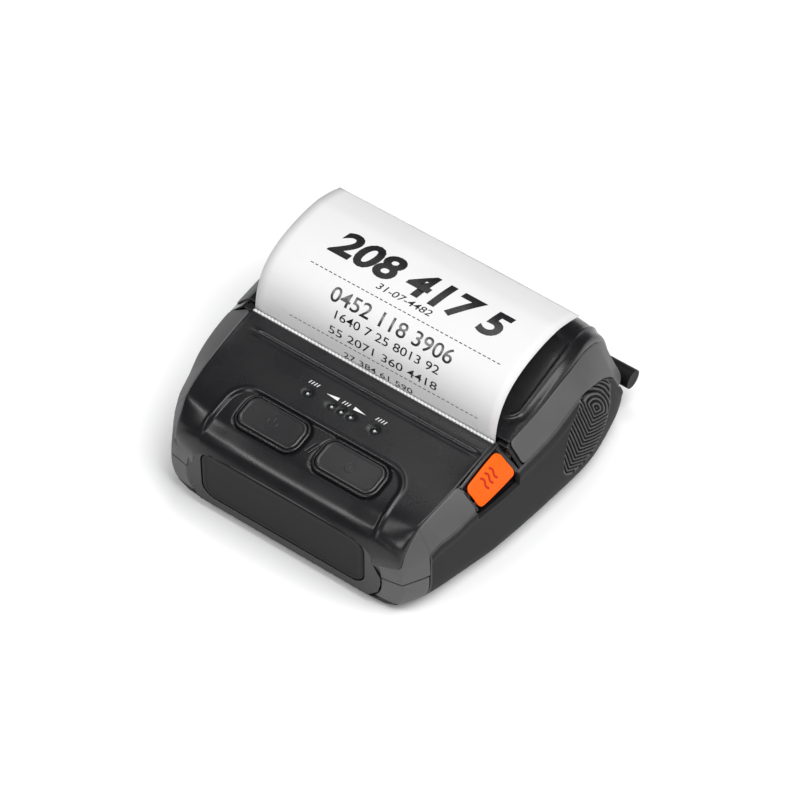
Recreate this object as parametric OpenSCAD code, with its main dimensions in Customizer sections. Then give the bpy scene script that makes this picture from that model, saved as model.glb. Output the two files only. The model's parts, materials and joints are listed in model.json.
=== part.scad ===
// Portable receipt printer for 112 mm paper, in millimetres.
// Origin under the middle of the printer, -Y is the front, +Z is up.

/* [Case] */
// Front face to the line where the paper leaves the slot
front_len = 58.5; // [56:0.5:64]
// Paper slot to the axis of the lid hinge
rear_len = 79.4; // [79:0.2:86]
// Greatest width, across the rubber side grips
body_w = 146.4; // [145:0.2:154]
// Height of the case top at the paper slot
slot_z = 49.9; // [49.5:0.1:53]
// Wall of the moulded case shells
wall = 2; // [1.8:0.1:2.2]
// Thickness of the trims, bumpers, cheeks and side grips
trim_t = 2; // [1.6:0.1:2.2]
// Gap between neighbouring shells at a seam
seam = 0.3; // [0.2:0.05:0.5]
// Height of the feet under the case
foot_h = 1.6; // [1.2:0.1:2.4]
// Diameter of a rubber foot
foot_d = 11; // [8:0.5:13]

/* [Paper and roll] */
// Width of the paper
paper_w = 112; // [104:1:112]
// Thickness of the modelled paper
paper_t = 0.3; // [0.2:0.05:0.4]
// Outside diameter of the paper roll
roll_d = 45; // [40:0.5:46.5]
// Outside diameter of the core tube of the roll
core_d = 18; // [14:0.5:22]
// Wall of the core tube
core_wall = 1.5; // [1:0.1:2]
// Inside diameter of the paper bay
bay_d = 53; // [52:0.5:53.5]
// Height of the printed sheet's crest over the slot
curl_rise = 26; // [20:0.5:30]
// How far the printed sheet reaches back over the lid
curl_reach = 55; // [45:1:60]

/* [Platen and gears] */
// Diameter of the rubber platen roller
platen_d = 10; // [9:0.2:10.6]
// Diameter of the platen shaft
shaft_d = 5; // [4:0.1:5.6]
// Height of the platen axis
platen_z = 40; // [39.5:0.1:41]
// Gear module
gear_m = 0.6; // [0.5:0.05:0.6]
// Teeth of the platen gear
platen_teeth = 16; // [14:1:16]
// Teeth of the reduction gear
idler_teeth = 26; // [24:1:28]
// Teeth of the motor pinion
pinion_teeth = 10; // [10:1:12]
// Face width of the gears
gear_w = 2.4; // [2:0.2:2.6]
// Diameter of the stepper motor can
motor_d = 15; // [14:0.5:15]
// Length of the stepper motor can
motor_l = 15; // [12:0.5:16]
// Diameter of the motor shaft
motor_shaft_d = 1.5; // [1.2:0.1:2]
// Diameter of the fixed axle under the reduction gear
idler_axle_d = 3; // [2.5:0.1:4]
// Running clearance on each side of a shaft in its bore
run_fit = 0.05; // [0.03:0.01:0.09]

/* [Print head] */
// Height of the head plate
head_h = 16; // [14:0.5:17]
// Thickness of the ceramic head plate
head_t = 1.4; // [1.2:0.1:2]
// Thickness of the heat sink behind the head plate
sink_t = 3; // [2.4:0.1:3.4]
// Swing of the head when the lid is released, in degrees
head_swing = 3; // [2:0.5:4]
// Diameter of the head springs
head_spring_d = 4; // [3:0.2:5]

/* [Buttons and lights] */
// Width of a top button
button_w = 27; // [22:0.5:28]
// Length of a top button from front to back
button_l = 13.4; // [10:0.2:15]
// Corner radius of a top button
button_r = 4.2; // [2:0.1:6]
// Distance of a top button's centre from the middle
button_x = 18.1; // [16:0.1:20]
// Distance of the buttons in front of the slot
button_ahead = 39.4; // [38:0.2:41]
// Travel of a top button
button_travel = 0.8; // [0.5:0.1:1]
// Gap round a top button
button_gap = 0.35; // [0.25:0.05:0.5]
// Diameter of a status light
led_d = 2; // [1.4:0.1:2.4]
// Distance of the lights in front of the slot
led_ahead = 20.8; // [18:0.2:23]
// Places of the five lights across the top
led_x = [-15.6, -4.4, 0, 4.4, 15.6];
// Length of the orange release button
release_l = 20; // [17:0.5:21]
// Height of the finger recess under the release button
release_gap = 3.4; // [2.4:0.2:4]

/* [Battery] */
// Width of the battery front panel
battery_w = 76; // [72:0.5:78]
// Height of the battery front panel
battery_h = 25; // [22:0.5:26]
// Length of the battery pack behind its panel
battery_l = 44; // [36:0.5:45]
// Height of the battery pack behind its panel
pack_h = 21; // [16:0.5:22]
// Corner radius of the battery front panel
battery_r = 6; // [3:0.2:8]
// Gap round the battery
battery_gap = 0.4; // [0.3:0.05:0.6]

/* [Hinge and screws] */
// Diameter of the hinge pin
pin_d = 3; // [2.4:0.1:4]
// Outside diameter of the hinge barrels
barrel_d = 8.2; // [7.4:0.1:9]
// Height of the hinge axis
hinge_z = 16; // [15:0.2:17]
// Length of a case barrel, with its end cap
barrel_l = 15; // [12:0.5:18]
// Thread diameter of the case screws
screw_d = 3; // [2.5:0.1:3.2]
// Opening angle of the lid, in degrees
lid_open = 88; // [60:1:90]

/* [Ports] */
// Length of the rubber port cover
port_cover_l = 36; // [30:0.5:40]
// Height of the rubber port cover
port_cover_h = 15; // [12:0.5:16]

/* [Hidden] */
$fn = 40;

// Main places
body_len = front_len + rear_len + barrel_d / 2;
front_y = -body_len / 2;
slot_y = front_y + front_len;
hinge_y = slot_y + rear_len;
half_w = body_w / 2;
paper_half = paper_w / 2;
clear = 0.3;
big = 400;

// Stations run from -1 at the front face over 0 at the slot to 1 at the hinge axis.
// Each row is a station and a size in millimetres, read by straight lines between rows.
narrowing = [[-1, 30.2], [-0.966, 18.7], [-0.795, 13.2], [-0.47, 8.2], [-0.214, 4.9], [0, 3.2],
    [0.2, 1.6], [0.5, 0], [0.765, 3.2], [0.9, 6.7], [0.945, 9.2], [0.98, 13.2], [1, 21.2]];
side_lean = [[-1, 0.5], [-0.45, 0.5], [-0.2, 1.5], [0, 2.5], [0.23, 3.8], [0.5, 5.2],
    [0.67, 4.5], [0.8, 3], [0.9, 1.2], [1, 0.5]];
grip_top = [[-1, -29.9], [-0.966, -25.9], [-0.8, -18.9], [-0.71, -14.8], [-0.58, -13.7],
    [-0.45, -11], [-0.03, -8.1], [0.24, -7.6], [0.5, -4], [0.66, -8.4], [0.8, -16.7],
    [0.89, -28.5], [1, -28.9]];
rim_half = [[-1, 42], [-0.95, 53], [-0.92, 53], [-0.86, 53.5], [-0.78, 54.3], [-0.5, 56],
    [-0.001, 56.8], [0.001, 61], [0.5, 61], [0.75, 59], [0.87, 58], [0.93, 57], [1, 46]];
rim_z = [[-1, -24.9], [-0.95, -21.9], [-0.92, -16.9], [-0.86, -11.9], [-0.78, -6.9],
    [-0.5, -3.1], [-0.07, 0], [0.22, 0.1], [0.5, 2.8], [0.635, 3.1], [0.75, 0.4],
    [0.87, -7.5], [0.93, -17.5], [1, -28.4]];
crest = [[-1, -14.1], [-0.985, -12.6], [-0.95, -10], [-0.9, -8.1], [-0.82, -6.1],
    [-0.65, -4.3], [-0.36, -2.2], [-0.05, 0], [0.03, 0.4], [0.22, 3.1], [0.41, 7.6],
    [0.56, 11.1], [0.65, 11.6], [0.75, 9.6], [0.83, 4.6], [0.9, -3.9], [0.95, -13.4],
    [0.98, -20.9], [1, -27.9]];
keel = [[-1, 3], [-0.97, 1], [-0.93, 0], [0.9, 0], [0.95, 1.4], [1, 5]];
widest_z = 15;
under_w = 8;
corner_s = -0.795;
corner_seam_z = 19.1;
lip = 0.6;
under_a = [0, 40, 65, 90];
crown_at = [0.95, 0.8, 0.5];

function station_y(s, inset = 0) = slot_y + s * (s < 0 ? front_len : rear_len)
    - sign(s) * inset * max(0, 2 * abs(s) - 1);
function station_of(y) = (y - slot_y) / (y < slot_y ? front_len : rear_len);
function side_x(s) = half_w - lookup(s, narrowing);
function edge_x(s) = side_x(s) - lookup(s, side_lean);
function edge_z(s) = slot_z + lookup(s, grip_top);
function rim_x(s) = min(lookup(s, rim_half), side_x(s) - 1);
function crown(share) = pow(1 - pow(share, 3), 1 / 3);
function top_z(s, x) = slot_z + lookup(s, rim_z)
    + (lookup(s, crest) - lookup(s, rim_z)) * crown(min(abs(x) / rim_x(s), 1));
function top_at(x, y) = top_z(station_of(y), x);

// Right half of a cross-section, drawn in by d: the middle of the underside, its curve up to
// the widest point, the side, the edge where the grip ends, the rim where the trim ends,
// the crown and the middle of the top. The underside is raised by dz.
function half_section(s, d, dz) = let(
        low = foot_h + lookup(s, keel) + dz, mid = max(widest_z, low + 3),
        w = side_x(s) - d, under = min(under_w, w - 1), ex = edge_x(s) - d,
        ez = max(edge_z(s), mid + 2), rx = rim_x(s) - d,
        rz = max(slot_z + lookup(s, rim_z) - 0.8 * d, ez + 0.3),
        tz = max(slot_z + lookup(s, crest) - d, rz + 0.3))
    concat([[0, low]],
        [for (a = under_a) [w - under + under * sin(a), low + (mid - low) * (1 - cos(a))]],
        [[w - (w - ex) * 0.25, (mid + ez) / 2], [ex, ez], [rx, rz]],
        [for (c = crown_at) [rx * c, rz + (tz - rz) * crown(c)]], [[0, tz]]);
ledge = 2;
widest = 4;
edge = 6;
rim = 7;
top = 11;
function pick(s, d, dz, lines, dy) = let(h = half_section(s, d, dz))
    [for (k = lines) [h[k][0], station_y(s, dy), h[k][1]]];
function arch(half) = concat(half,
    [for (i = [len(half) - 2 : -1 : 0]) [-half[i][0], half[i][1], half[i][2]]]);
function arch_2d(half) = concat(half, [for (i = [len(half) - 1 : -1 : 0]) [-half[i][0], half[i][1]]]);
function flip(points) = [for (p = points) [-p[0], p[1], p[2]]];

// A point on the side wall at height z
function side_at(s, d, z) = let(h = half_section(s, d, d), low = min(z, h[edge][1]),
        t = (low - h[widest][1]) / (h[edge][1] - h[widest][1]))
    [h[widest][0] + (h[edge][0] - h[widest][0]) * t, station_y(s, d), low];

// A closed shell between two grids of points, one row of each grid for every station. The
// two halves of an arch are split the mirrored way, so that both fit the pieces beside them.
module shell(outs, ins, kind = "side") {
    m = len(outs);
    n = len(outs[0]);
    size = m * n;
    points = concat([for (row = outs) each row], [for (row = ins) each row]);
    skin = [for (i = [0 : m - 2], k = [0 : n - 2]) let(a = i * n + k, b = a + n,
            first = k < (n - 1) / 2)
        each kind == "side" || (kind == "over") == first
            ? [[a, a + 1, b + 1], [a, b + 1, b]] : [[a, a + 1, b], [a + 1, b + 1, b]]];
    lining = [for (f = skin) [f[2] + size, f[1] + size, f[0] + size]];
    long_edges = [for (i = [0 : m - 2], k = [0, n - 1]) let(a = i * n + k, b = a + n)
        each k == 0 ? [[a, b, b + size], [a, b + size, a + size]]
            : [[b, a, a + size], [b, a + size, b + size]]];
    end_edges = [for (k = [0 : n - 2], i = [0, m - 1]) let(a = i * n + k, b = a + 1)
        each i == 0 ? [[b, a, a + size], [b, a + size, b + size]]
            : [[a, b, b + size], [a, b + size, a + size]]];
    polyhedron(points, concat(skin, lining, long_edges, end_edges), convexity = 8);
}
module for_side(side) {
    if (side > 0) children();
    else mirror([1, 0, 0]) children();
}
module both_sides() {
    children();
    mirror([1, 0, 0]) children();
}

// Shapes drawn in the side view and the front view, and plain blocks and rods
module side_view(x0, x1) {
    translate([x0, 0, 0]) rotate([90, 0, 90]) linear_extrude(x1 - x0) children();
}
module front_view(y0, y1) {
    translate([0, y1, 0]) rotate([90, 0, 0]) linear_extrude(y1 - y0) children();
}
module block(x, y, z) {
    translate([x[0], y[0], z[0]]) cube([x[1] - x[0], y[1] - y[0], z[1] - z[0]]);
}
module rod(p, d, x0, x1) {
    translate([x0, p[0], p[1]]) rotate([0, 90, 0]) cylinder(d = d, h = x1 - x0);
}
module upright(p, d, z0, z1) {
    translate([p[0], p[1], z0]) cylinder(d = d, h = z1 - z0);
}
module rounded(w, l, r) {
    square([w, l - 2 * r], center = true);
    square([w - 2 * r, l], center = true);
    for (i = [-1, 1], j = [-1, 1]) translate([i * (w / 2 - r), j * (l / 2 - r)]) circle(r);
}
module ribbon(path, t, x0, x1) {
    n = len(path);
    side = [for (i = [0 : n - 1]) let(a = path[max(i - 1, 0)], b = path[min(i + 1, n - 1)],
        v = (b - a) / norm(b - a)) [-v[1], v[0]] * t / 2];
    side_view(x0, x1) polygon(concat([for (i = [0 : n - 1]) path[i] + side[i]],
        [for (i = [n - 1 : -1 : 0]) path[i] - side[i]]));
}

// Stations of the shells
cover_back = slot_y - 2;
lid_front = slot_y + 2;
trim_front_s = -0.992;
shoulder_s = [-1, -0.985, -0.966, -0.93, -0.88, -0.83, corner_s - 0.005, corner_s + 0.005,
    -0.72, -0.6, -0.45, -0.25, station_of(cover_back)];
base_s = concat([for (s = shoulder_s) if (s > -0.99 && s < -0.1) s],
    [-0.03, 0.12, 0.25, 0.38, 0.5, 0.6, 0.69, 0.77, 0.84, 0.89, 0.93]);
lid_s = [station_of(lid_front), 0.12, 0.25, 0.38, 0.5, 0.6, 0.69, 0.77, 0.84, 0.9, 0.945,
    0.975, 1];
under_trim = trim_t + 0.1;
function trim_low(s) = s < corner_s ? corner_seam_z : max(edge_z(s) - lip, corner_seam_z);

// Battery bay and its front panel
panel_low = foot_h + 7.8;
panel_mid_z = panel_low + battery_h / 2;
panel_t = 2;
bumper_x = 43;
tongue_low = foot_h + 3;
pack_w = battery_w - 4;
pack_z = panel_mid_z - 1.4;
module panel_form(grow, y0, y1) {
    front_view(y0, y1) translate([0, panel_mid_z])
        rounded(battery_w + 2 * grow, battery_h + 2 * grow, battery_r + grow);
}

// Release button, on the right side only
release_back = cover_back - 0.8;
release_front = release_back - release_l;
release_t = 1.8;
release_x = paper_half + 2.6;
release_axis = [release_x + 1.2, edge_z(-0.25) + 2.4];
release_pin = 1.6;
recess_z = edge_z(-0.45) - release_gap;
release_spring_h = 0.9;
pocket_t = 0.9;

// Platen, gear train and motor
platen_y = slot_y + paper_t / 2 + 0.1 + platen_d / 2;
platen_at = [platen_y, platen_z];
function mesh(a, b) = gear_m * (a + b) / 2;
idler_dir = 232.7;
pinion_dir = 198;
idler_at = platen_at + mesh(platen_teeth, idler_teeth) * [cos(idler_dir), sin(idler_dir)];
pinion_at = idler_at + mesh(idler_teeth, pinion_teeth) * [cos(pinion_dir), sin(pinion_dir)];
plate_x = paper_half + 1;
plate_t = 1.2;
gear_x0 = plate_x + plate_t + 0.5;
gear_x1 = gear_x0 + gear_w;
rubber_half = paper_half - 2;
arm_x0 = rubber_half + 0.6;
arm_t = 1.6;
bush_d = shaft_d + 3;
bush_x1 = gear_x0 - 0.2;

// Print head, in front of the paper
head_half = paper_half - 1.5;
head_back = slot_y - paper_t / 2 - 0.15;
head_low = platen_z - head_h + 2.6;
sink_back = head_back - head_t;
sink_front = sink_back - sink_t;
pivot_at = [sink_back - sink_t / 2, head_low - 1.4];
pivot_d = 2;
spring_wall_y = sink_front - 5;
spring_at = [30, platen_z - 1];
sink_wide_z = pinion_at[1] + motor_d / 2 + 0.8;

// Roll and its bay
floor_z = foot_h + wall;
bay_wall = 1.2;
bay_z = floor_z + bay_wall + bay_d / 2 + 0.2;
bay_y = slot_y + 40.8;
roll_z = bay_z - (bay_d - roll_d) / 2 + 0.1;
bay_half = paper_half + 0.8;
web_r = platen_d / 2 + 0.1 + paper_t / 2;
roll_r = roll_d / 2 + paper_t / 2 + 0.05;
web_gap = [bay_y - platen_y, roll_z - platen_z];
web_dir = atan2(web_gap[1], web_gap[0]) + asin((web_r + roll_r) / norm(web_gap));
web_low = platen_at + web_r * [sin(web_dir), -cos(web_dir)];
web_high = [bay_y, roll_z] + roll_r * [-sin(web_dir), cos(web_dir)];

// Inner boards
board_t = 1.6;
board_z = panel_low + battery_h + 1;
board_top = board_z + board_t;
board_front = front_y + 14;
board_back = spring_wall_y - plate_t - 1;
board_half = 50;
button_y = slot_y - button_ahead;
led_y = slot_y - led_ahead;
switch_h = 3;
pad_slope = atan((top_at(0, button_y + 6) - top_at(0, button_y - 6)) / 12);
port_y = [slot_y - 5 - port_cover_l, slot_y - 5];
port_z = [widest_z + 0.6, widest_z + 0.6 + port_cover_h];
port_hinge_d = 1.4;
port_hinge_z = port_z[0] + 0.4;
io_x = paper_half - 1.5;
port_places = [port_y[1] - 7, port_y[1] - 17.5, port_y[1] - 28.5];

// Screws and feet
boss_d = screw_d + 4;
case_screw_at = [for (i = [-1, 1]) [i * 46.5, front_y + 9]];
case_boss_z = min([for (i = [0, 1]) top_at(case_screw_at[1][0] + i * boss_d / 2,
    case_screw_at[1][1] - i * boss_d / 2)]) - 1;
mech_screw_at = [for (i = [-1, 1]) [i * (plate_x - 8), slot_y + 4]];
board_post_at = [for (i = [-1, 1], y = [board_front + 4, board_back - 4]) [i * 40, y]];
foot_at = [for (i = [-1, 1], y = [front_y + 20, slot_y + 58]) [i * 46.5, y]];
foot_seat = 0.6;
flange_z = floor_z + 2;

// Lid parts
window_w = 92;
window_y = [slot_y + 24, slot_y + 58];
window_r = 8;
cheek_end_s = 0.955;
lid_arm_x = [paper_half - 20, paper_half - 11];
base_arm_x = [paper_half - 6, paper_half + 8.6];
bar_y = [slot_y + 10.5, slot_y + 17];
bar_top = slot_z - wall - 1;
bar_low = slot_z - 6;

module base_case() color("#202022") {
    in = under_trim + wall;
    difference() {
        union() {
            shell(
                [for (s = base_s) arch(flip(concat([side_at(s, under_trim, trim_low(s) - seam)],
                    pick(s, under_trim, under_trim, [widest, 3, ledge], under_trim),
                    pick(s, 0, 0, [ledge, 1, 0], 0))))],
                [for (s = base_s) let(p = pick(s, in, wall, [widest, 3, ledge, 1, 0], in))
                    arch(flip(concat([side_at(s, in, trim_low(s) - seam), p[0], p[1], p[2],
                    (p[2] + p[3]) / 2, p[3], p[4]])))], "under");
            base_end_walls();
            base_ribs();
            both_sides() base_barrel();
        }
        rod([hinge_y, hinge_z], pin_d, -big / 2, big / 2);
        for (p = case_screw_at) {
            upright(p, screw_d + 0.4, -1, corner_seam_z);
            upright(p, screw_d + 2.8, -1, foot_h + 3);
        }
        for (p = mech_screw_at) upright(p, screw_d, foot_h + 1, big);
        for (p = foot_at) upright(p, foot_d + 0.1, -1, foot_h + foot_seat);
        block([-big / 2, -io_x], [port_y[0] + 2, port_y[1] - 2], [port_z[0] + 1.6, port_z[1] - 1.6]);
        block([release_x - 4, big / 2], [release_front - 2.2, release_back + 2.2],
            [recess_z - pocket_t - 0.3, big]);
    }
}
module base_end_walls() {
    s = 0.93;
    h = half_section(s, under_trim + 0.3, 0.3);
    y = station_y(s, 0) - wall;
    profile = concat([for (k = [widest : -1 : 1]) h[k]], [for (k = [1 : widest]) [-h[k][0], h[k][1]]]);
    front_view(y, y + wall) polygon(concat([[h[widest][0] - 0.2, trim_low(s) - seam]], profile,
        [[-h[widest][0] + 0.2, trim_low(s) - seam]]));
}
module base_ribs() {
    for (p = case_screw_at) upright(p, boss_d, foot_h + 1, corner_seam_z - seam);
    for (p = mech_screw_at) upright(p, boss_d, foot_h + 1, flange_z);
    y = [front_y + 3.2, spring_wall_y - 5];
    both_sides() block([pack_w / 2 + battery_gap, pack_w / 2 + battery_gap + 1.4], y,
        [floor_z - 0.4, pack_z]);
    both_sides() block([pack_w / 2 - 9, pack_w / 2 - 6], y,
        [floor_z - 0.4, pack_z - pack_h / 2 - battery_gap]);
    block([-io_x - board_t, -io_x], [port_y[0] + 6, port_y[1] - 4],
        [floor_z - 0.4, io_board_z[0]]);
}
module base_barrel() {
    rod([hinge_y, hinge_z], barrel_d, base_arm_x[0], base_arm_x[1]);
    block([base_arm_x[0], base_arm_x[1] - 4], [station_y(0.93, 0) - 1, hinge_y],
        [hinge_z - barrel_d / 2, hinge_z]);
}

module grip(side) color("#3a3a3c") for_side(side) {
    s_list = concat([for (s = base_s) if (s > corner_s && s < 0.895) s]);
    shell([for (s = s_list) concat(pick(s, 0, 0, [ledge, 3, widest, 5], 0),
            [side_at(s, 0, trim_low(s) - seam)])],
        [for (s = s_list) concat(pick(s, trim_t, trim_t, [ledge, 3, widest, 5], trim_t),
            [side_at(s, trim_t, trim_low(s) - seam)])]);
}
module side_grip_left() color("#3a3a3c") difference() {
    grip(-1);
    block([-big / 2, -io_x], [port_y[0] - seam, port_y[1] + seam],
        [port_z[0] - seam - 0.3, port_z[1] + seam]);
}
module side_grip_right() color("#3a3a3c") difference() {
    grip(1);
    block([release_x - 4, big / 2], [release_front - 1.4, release_back + 1.4],
        [recess_z - pocket_t - 0.25, big]);
}

module bumper(side) color("#68686b") for_side(side) {
    s_list = concat([trim_front_s], [for (s = shoulder_s) if (s > -0.99 && s < corner_s) s]);
    shell([for (s = s_list) concat(pick(s, 0, 0, [ledge, 3, widest], 0),
            [side_at(s, 0, corner_seam_z - seam)])],
        [for (s = s_list) concat(pick(s, trim_t, trim_t, [ledge, 3, widest], trim_t),
            [side_at(s, trim_t, corner_seam_z - seam)])]);
}
module corner_bumper_left() bumper(-1);
module corner_bumper_right() bumper(1);

// Inside points of a crowned shell, from its rim to the middle
function vault(s) = let(x = rim_x(s) - under_trim - wall - 1.2)
    [for (c = [1, 0.95, 0.8, 0.5, 0]) [x * c, station_y(s, wall), top_z(s, x * c) - wall]];
module crowned(s_list) {
    in = under_trim + wall;
    shell([for (s = s_list) let(r = pick(s, 0, 0, [rim, 8, 9, 10, top], 0))
            arch(concat([side_at(s, under_trim, trim_low(s) + 0.1)],
            pick(s, under_trim, under_trim, [edge, rim], under_trim),
            [r[0] - [seam, 0, 0], r[1], r[2], r[3], r[4]]))],
        [for (s = s_list) arch(concat([side_at(s, in, trim_low(s) + 0.1)],
            pick(s, in, in, [edge, rim], in), vault(s)))], "over");
}
module front_cover() color("#1e1e20") {
    difference() {
        union() {
            crowned(shoulder_s);
            cover_front_wall();
            for (p = case_screw_at) upright(p, boss_d, corner_seam_z + 1, case_boss_z);
            for (p = board_post_at) upright(p, 5, board_top, top_at(p[0], p[1]) - 1);
            front_view(cover_back - 1.7, cover_back) polygon(arch_2d([[paper_half, bar_low],
                [paper_half, bar_low + 1.9], [paper_half - 6, slot_z - 2.4], [paper_half - 16, slot_z - 1.3]]));
        }
        panel_form(battery_gap, front_y - 5, front_y + 8);
        block([release_x - 0.3, big], [release_front - 0.8, big], [0, big]);
        for (x = [-button_x, button_x]) at_button(x) translate([0, 0, -12]) linear_extrude(30)
            rounded(button_w + 2 * button_gap, button_l + 2 * button_gap, button_r + button_gap);
        for (x = led_x) upright([x, led_y], led_d + 0.2, board_z, big);
        for (p = case_screw_at) upright(p, screw_d, 0, corner_seam_z + 10);
        for (p = board_post_at) upright(p, 2, board_z, board_top + 5);
    }
    release_pocket();
}
module cover_front_wall() {
    h = half_section(-1, 0, 0);
    half = concat([[bumper_x - 4.5, tongue_low], [bumper_x - 1, tongue_low + 5.4],
        [bumper_x + 0.4, widest_z], [bumper_x + 0.4, corner_seam_z]],
        [for (k = [rim : top]) h[k]]);
    difference() {
        front_view(front_y, front_y + wall) polygon(concat(half,
            [for (i = [len(half) - 2 : -1 : 0]) [-half[i][0], half[i][1]]]));
        panel_form(battery_gap, front_y - 5, front_y + 8);
    }
}
module release_pocket() {
    x = [release_x - 1.2, release_x - 0.3, gear_x1 + 0.5, gear_x1 + 1.2, gear_x1 + 2.6];
    floor = idler_at[1] + gear_m * (idler_teeth / 2 + 0.9) + 0.5;
    roof = release_axis[1] + 2;
    y = [release_front - 1.2, release_back + 1.2];
    profile = [[x[0], roof], [x[0], floor], [x[2], floor], [x[3], recess_z - pocket_t],
        [x[4], recess_z - pocket_t], [x[4], recess_z], [x[3] + 0.6, recess_z],
        [x[2] + 0.6, floor + pocket_t], [x[1], floor + pocket_t], [x[1], roof]];
    difference() {
        union() {
            front_view(y[0], y[1]) polygon(profile);
            for (y0 = [y[0], y[1] - pocket_t]) front_view(y0, y0 + pocket_t)
                polygon(concat([for (i = [0 : 5]) profile[i]],
                [[x[4], recess_z + 2.6], [x[1] + 2.2, roof]]));
        }
        translate([release_axis[0], -big / 2, release_axis[1]]) rotate([-90, 0, 0])
            cylinder(d = release_pin + 2 * run_fit, h = big);
    }
}

module trim(side, back) color("#68686b") for_side(side) {
    s_list = concat([trim_front_s], [for (s = shoulder_s) if (s > -0.99 && station_y(s) < back - 2)
        s], [station_of(back)]);
    shell([for (s = s_list) concat([side_at(s, 0, trim_low(s))], pick(s, 0, 0, [edge, rim], 0))],
        [for (s = s_list) concat([side_at(s, trim_t, trim_low(s))],
            pick(s, trim_t, trim_t, [edge, rim], trim_t))]);
}
module side_trim_left() trim(-1, cover_back);
module side_trim_right() trim(1, release_front - 1.4);

module tear_bar() color("#d8d8da") {
    teeth = floor(paper_w / 1.6);
    front_view(cover_back, cover_back + 0.9) polygon(concat(
        [[paper_half, bar_low], [-paper_half, bar_low]],
        [for (i = [0 : teeth]) for (q = [[0, -2.4], [0.5, -1.5]]) if (i < teeth || q[0] == 0)
            [-paper_half + (i + q[0]) * paper_w / teeth, slot_z + q[1]]]));
}

module at_button(x) {
    translate([x, button_y, top_at(0, button_y)]) rotate([pad_slope, 0, 0]) children();
}
module button(x) color("#2a2a2c") at_button(x) {
    difference() {
        translate([0, 0, -3]) linear_extrude(3.5) rounded(button_w, button_l, button_r);
        translate([0, 0, 0.3]) linear_extrude(3) rounded(button_w - 3, button_l - 3, button_r - 1);
    }
    translate([0, 0, -3.5]) linear_extrude(1) rounded(button_w + 2, button_l - 2, button_r);
    stem = top_at(0, button_y) - board_top - switch_h - button_travel - 0.3;
    translate([0, 0, -stem]) cylinder(d = 4, h = stem - 3);
}
module power_button() button(-button_x);
module feed_button() button(button_x);
module light_pipes() color("#b8d8c8") for (x = led_x)
    upright([x, led_y], led_d, board_top, top_at(x, led_y) - 0.2);

module release_button() color("#ff6b1a") {
    s_list = [station_of(release_front), -0.3, -0.2, station_of(release_back)];
    shell([for (s = s_list) let(p = concat([side_at(s, 0, trim_low(s))],
            pick(s, 0, 0, [edge, rim], 0)), t = (p[2][0] - release_x) / (p[2][0] - p[1][0]))
            [p[0], p[1], p[2] + (p[1] - p[2]) * t]],
        [for (s = s_list) let(p = concat([side_at(s, release_t, trim_low(s))],
            pick(s, release_t, release_t, [edge, rim], 0)),
            t = (p[2][0] - release_x) / (p[2][0] - p[1][0]))
            [[p[0][0], station_y(s), p[0][2] + 0.3], p[1], p[2] + (p[1] - p[2]) * t]]);
    translate([release_axis[0], release_front + 0.2, release_axis[1]]) rotate([-90, 0, 0])
        cylinder(d = 2.6, h = release_l - 0.4);
    translate([release_axis[0], release_front - 1, release_axis[1]]) rotate([-90, 0, 0])
        cylinder(d = release_pin, h = release_l + 2);
}
module release_spring() color("#b0b0b4") {
    floor = idler_at[1] + gear_m * (idler_teeth / 2 + 0.9) + 0.5 + pocket_t;
    for (y = [release_front + 5, release_back - 5]) translate([release_axis[0] + 2.4, y, floor])
        difference() {
            cylinder(d = 2.2, h = release_spring_h);
            translate([0, 0, -1]) cylinder(d = 1.2, h = 4);
        }
}

// Main board and what stands on it
module main_board() color("#2f6b45") difference() {
    union() {
        block([-board_half, board_half], [board_front, board_back], [board_z, board_top]);
        block([-12, -3], [board_front + 12, board_front + 21], [board_top, board_top + 1.4]);
        block([6, 13], [board_front + 14, board_front + 19], [board_top, board_top + 1.1]);
        block([-14, 12], [board_back - 5, board_back - 1.4], [board_z - 1.6, board_z]);
    }
    for (p = board_post_at) upright(p, 2.4, 0, big);
}
module radio_module() color("#c8c8c4")
    block([-36, -20], [board_back - 14, board_back - 2], [board_top, board_top + 2.2]);
module buzzer() color("#202020") difference() {
    upright([34, board_back - 9], 9, board_top, board_top + 3.6);
    upright([34, board_back - 9], 1.6, board_top + 2, big);
}
module button_switches() color("#c0c0c0") for (x = [-button_x, button_x]) {
    block([x - 3, x + 3], [button_y - 3, button_y + 3], [board_top, board_top + switch_h - 1]);
    upright([x, button_y], 3.4, board_top + switch_h - 1, board_top + switch_h);
}
module battery_contacts() color("#d0b060") {
    block([-10, 10], [board_back - 17, board_back - 8], [pack_top + battery_gap, board_z]);
}

// Interface board with its sockets, behind the port cover
io_board_z = [port_z[0] + 0.9, port_z[1] - 0.7];
socket_x = [-io_x - board_t - 3.4, -io_x - board_t];
module io_board() color("#2f6b45")
    block([-io_x - board_t, -io_x], [port_y[0] + 3, port_y[1] - 2.4], io_board_z);
module socket(y, w, z, h, wall_t) difference() {
    block(socket_x, [y - w / 2, y + w / 2], [z, z + h]);
    block([-big / 2, socket_x[1] - 1], [y - w / 2 + wall_t, y + w / 2 - wall_t],
        [z + wall_t, z + h - wall_t]);
}
module usb_port() color("#c4c4c8") socket(port_places[0], 7.8, port_z[0] + 5, 4.2, 0.5);
module serial_port() color("#26262a") socket(port_places[1], 11, port_z[0] + 3.4, 8, 1.2);
module dc_jack() color("#26262a") difference() {
    y = port_places[2];
    block(socket_x, [y - 4.4, y + 4.4], [port_z[0] + 3, port_z[0] + 11.8]);
    rod([y, port_z[0] + 7.4], 5.6, -big / 2, socket_x[1] - 1);
}

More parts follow.
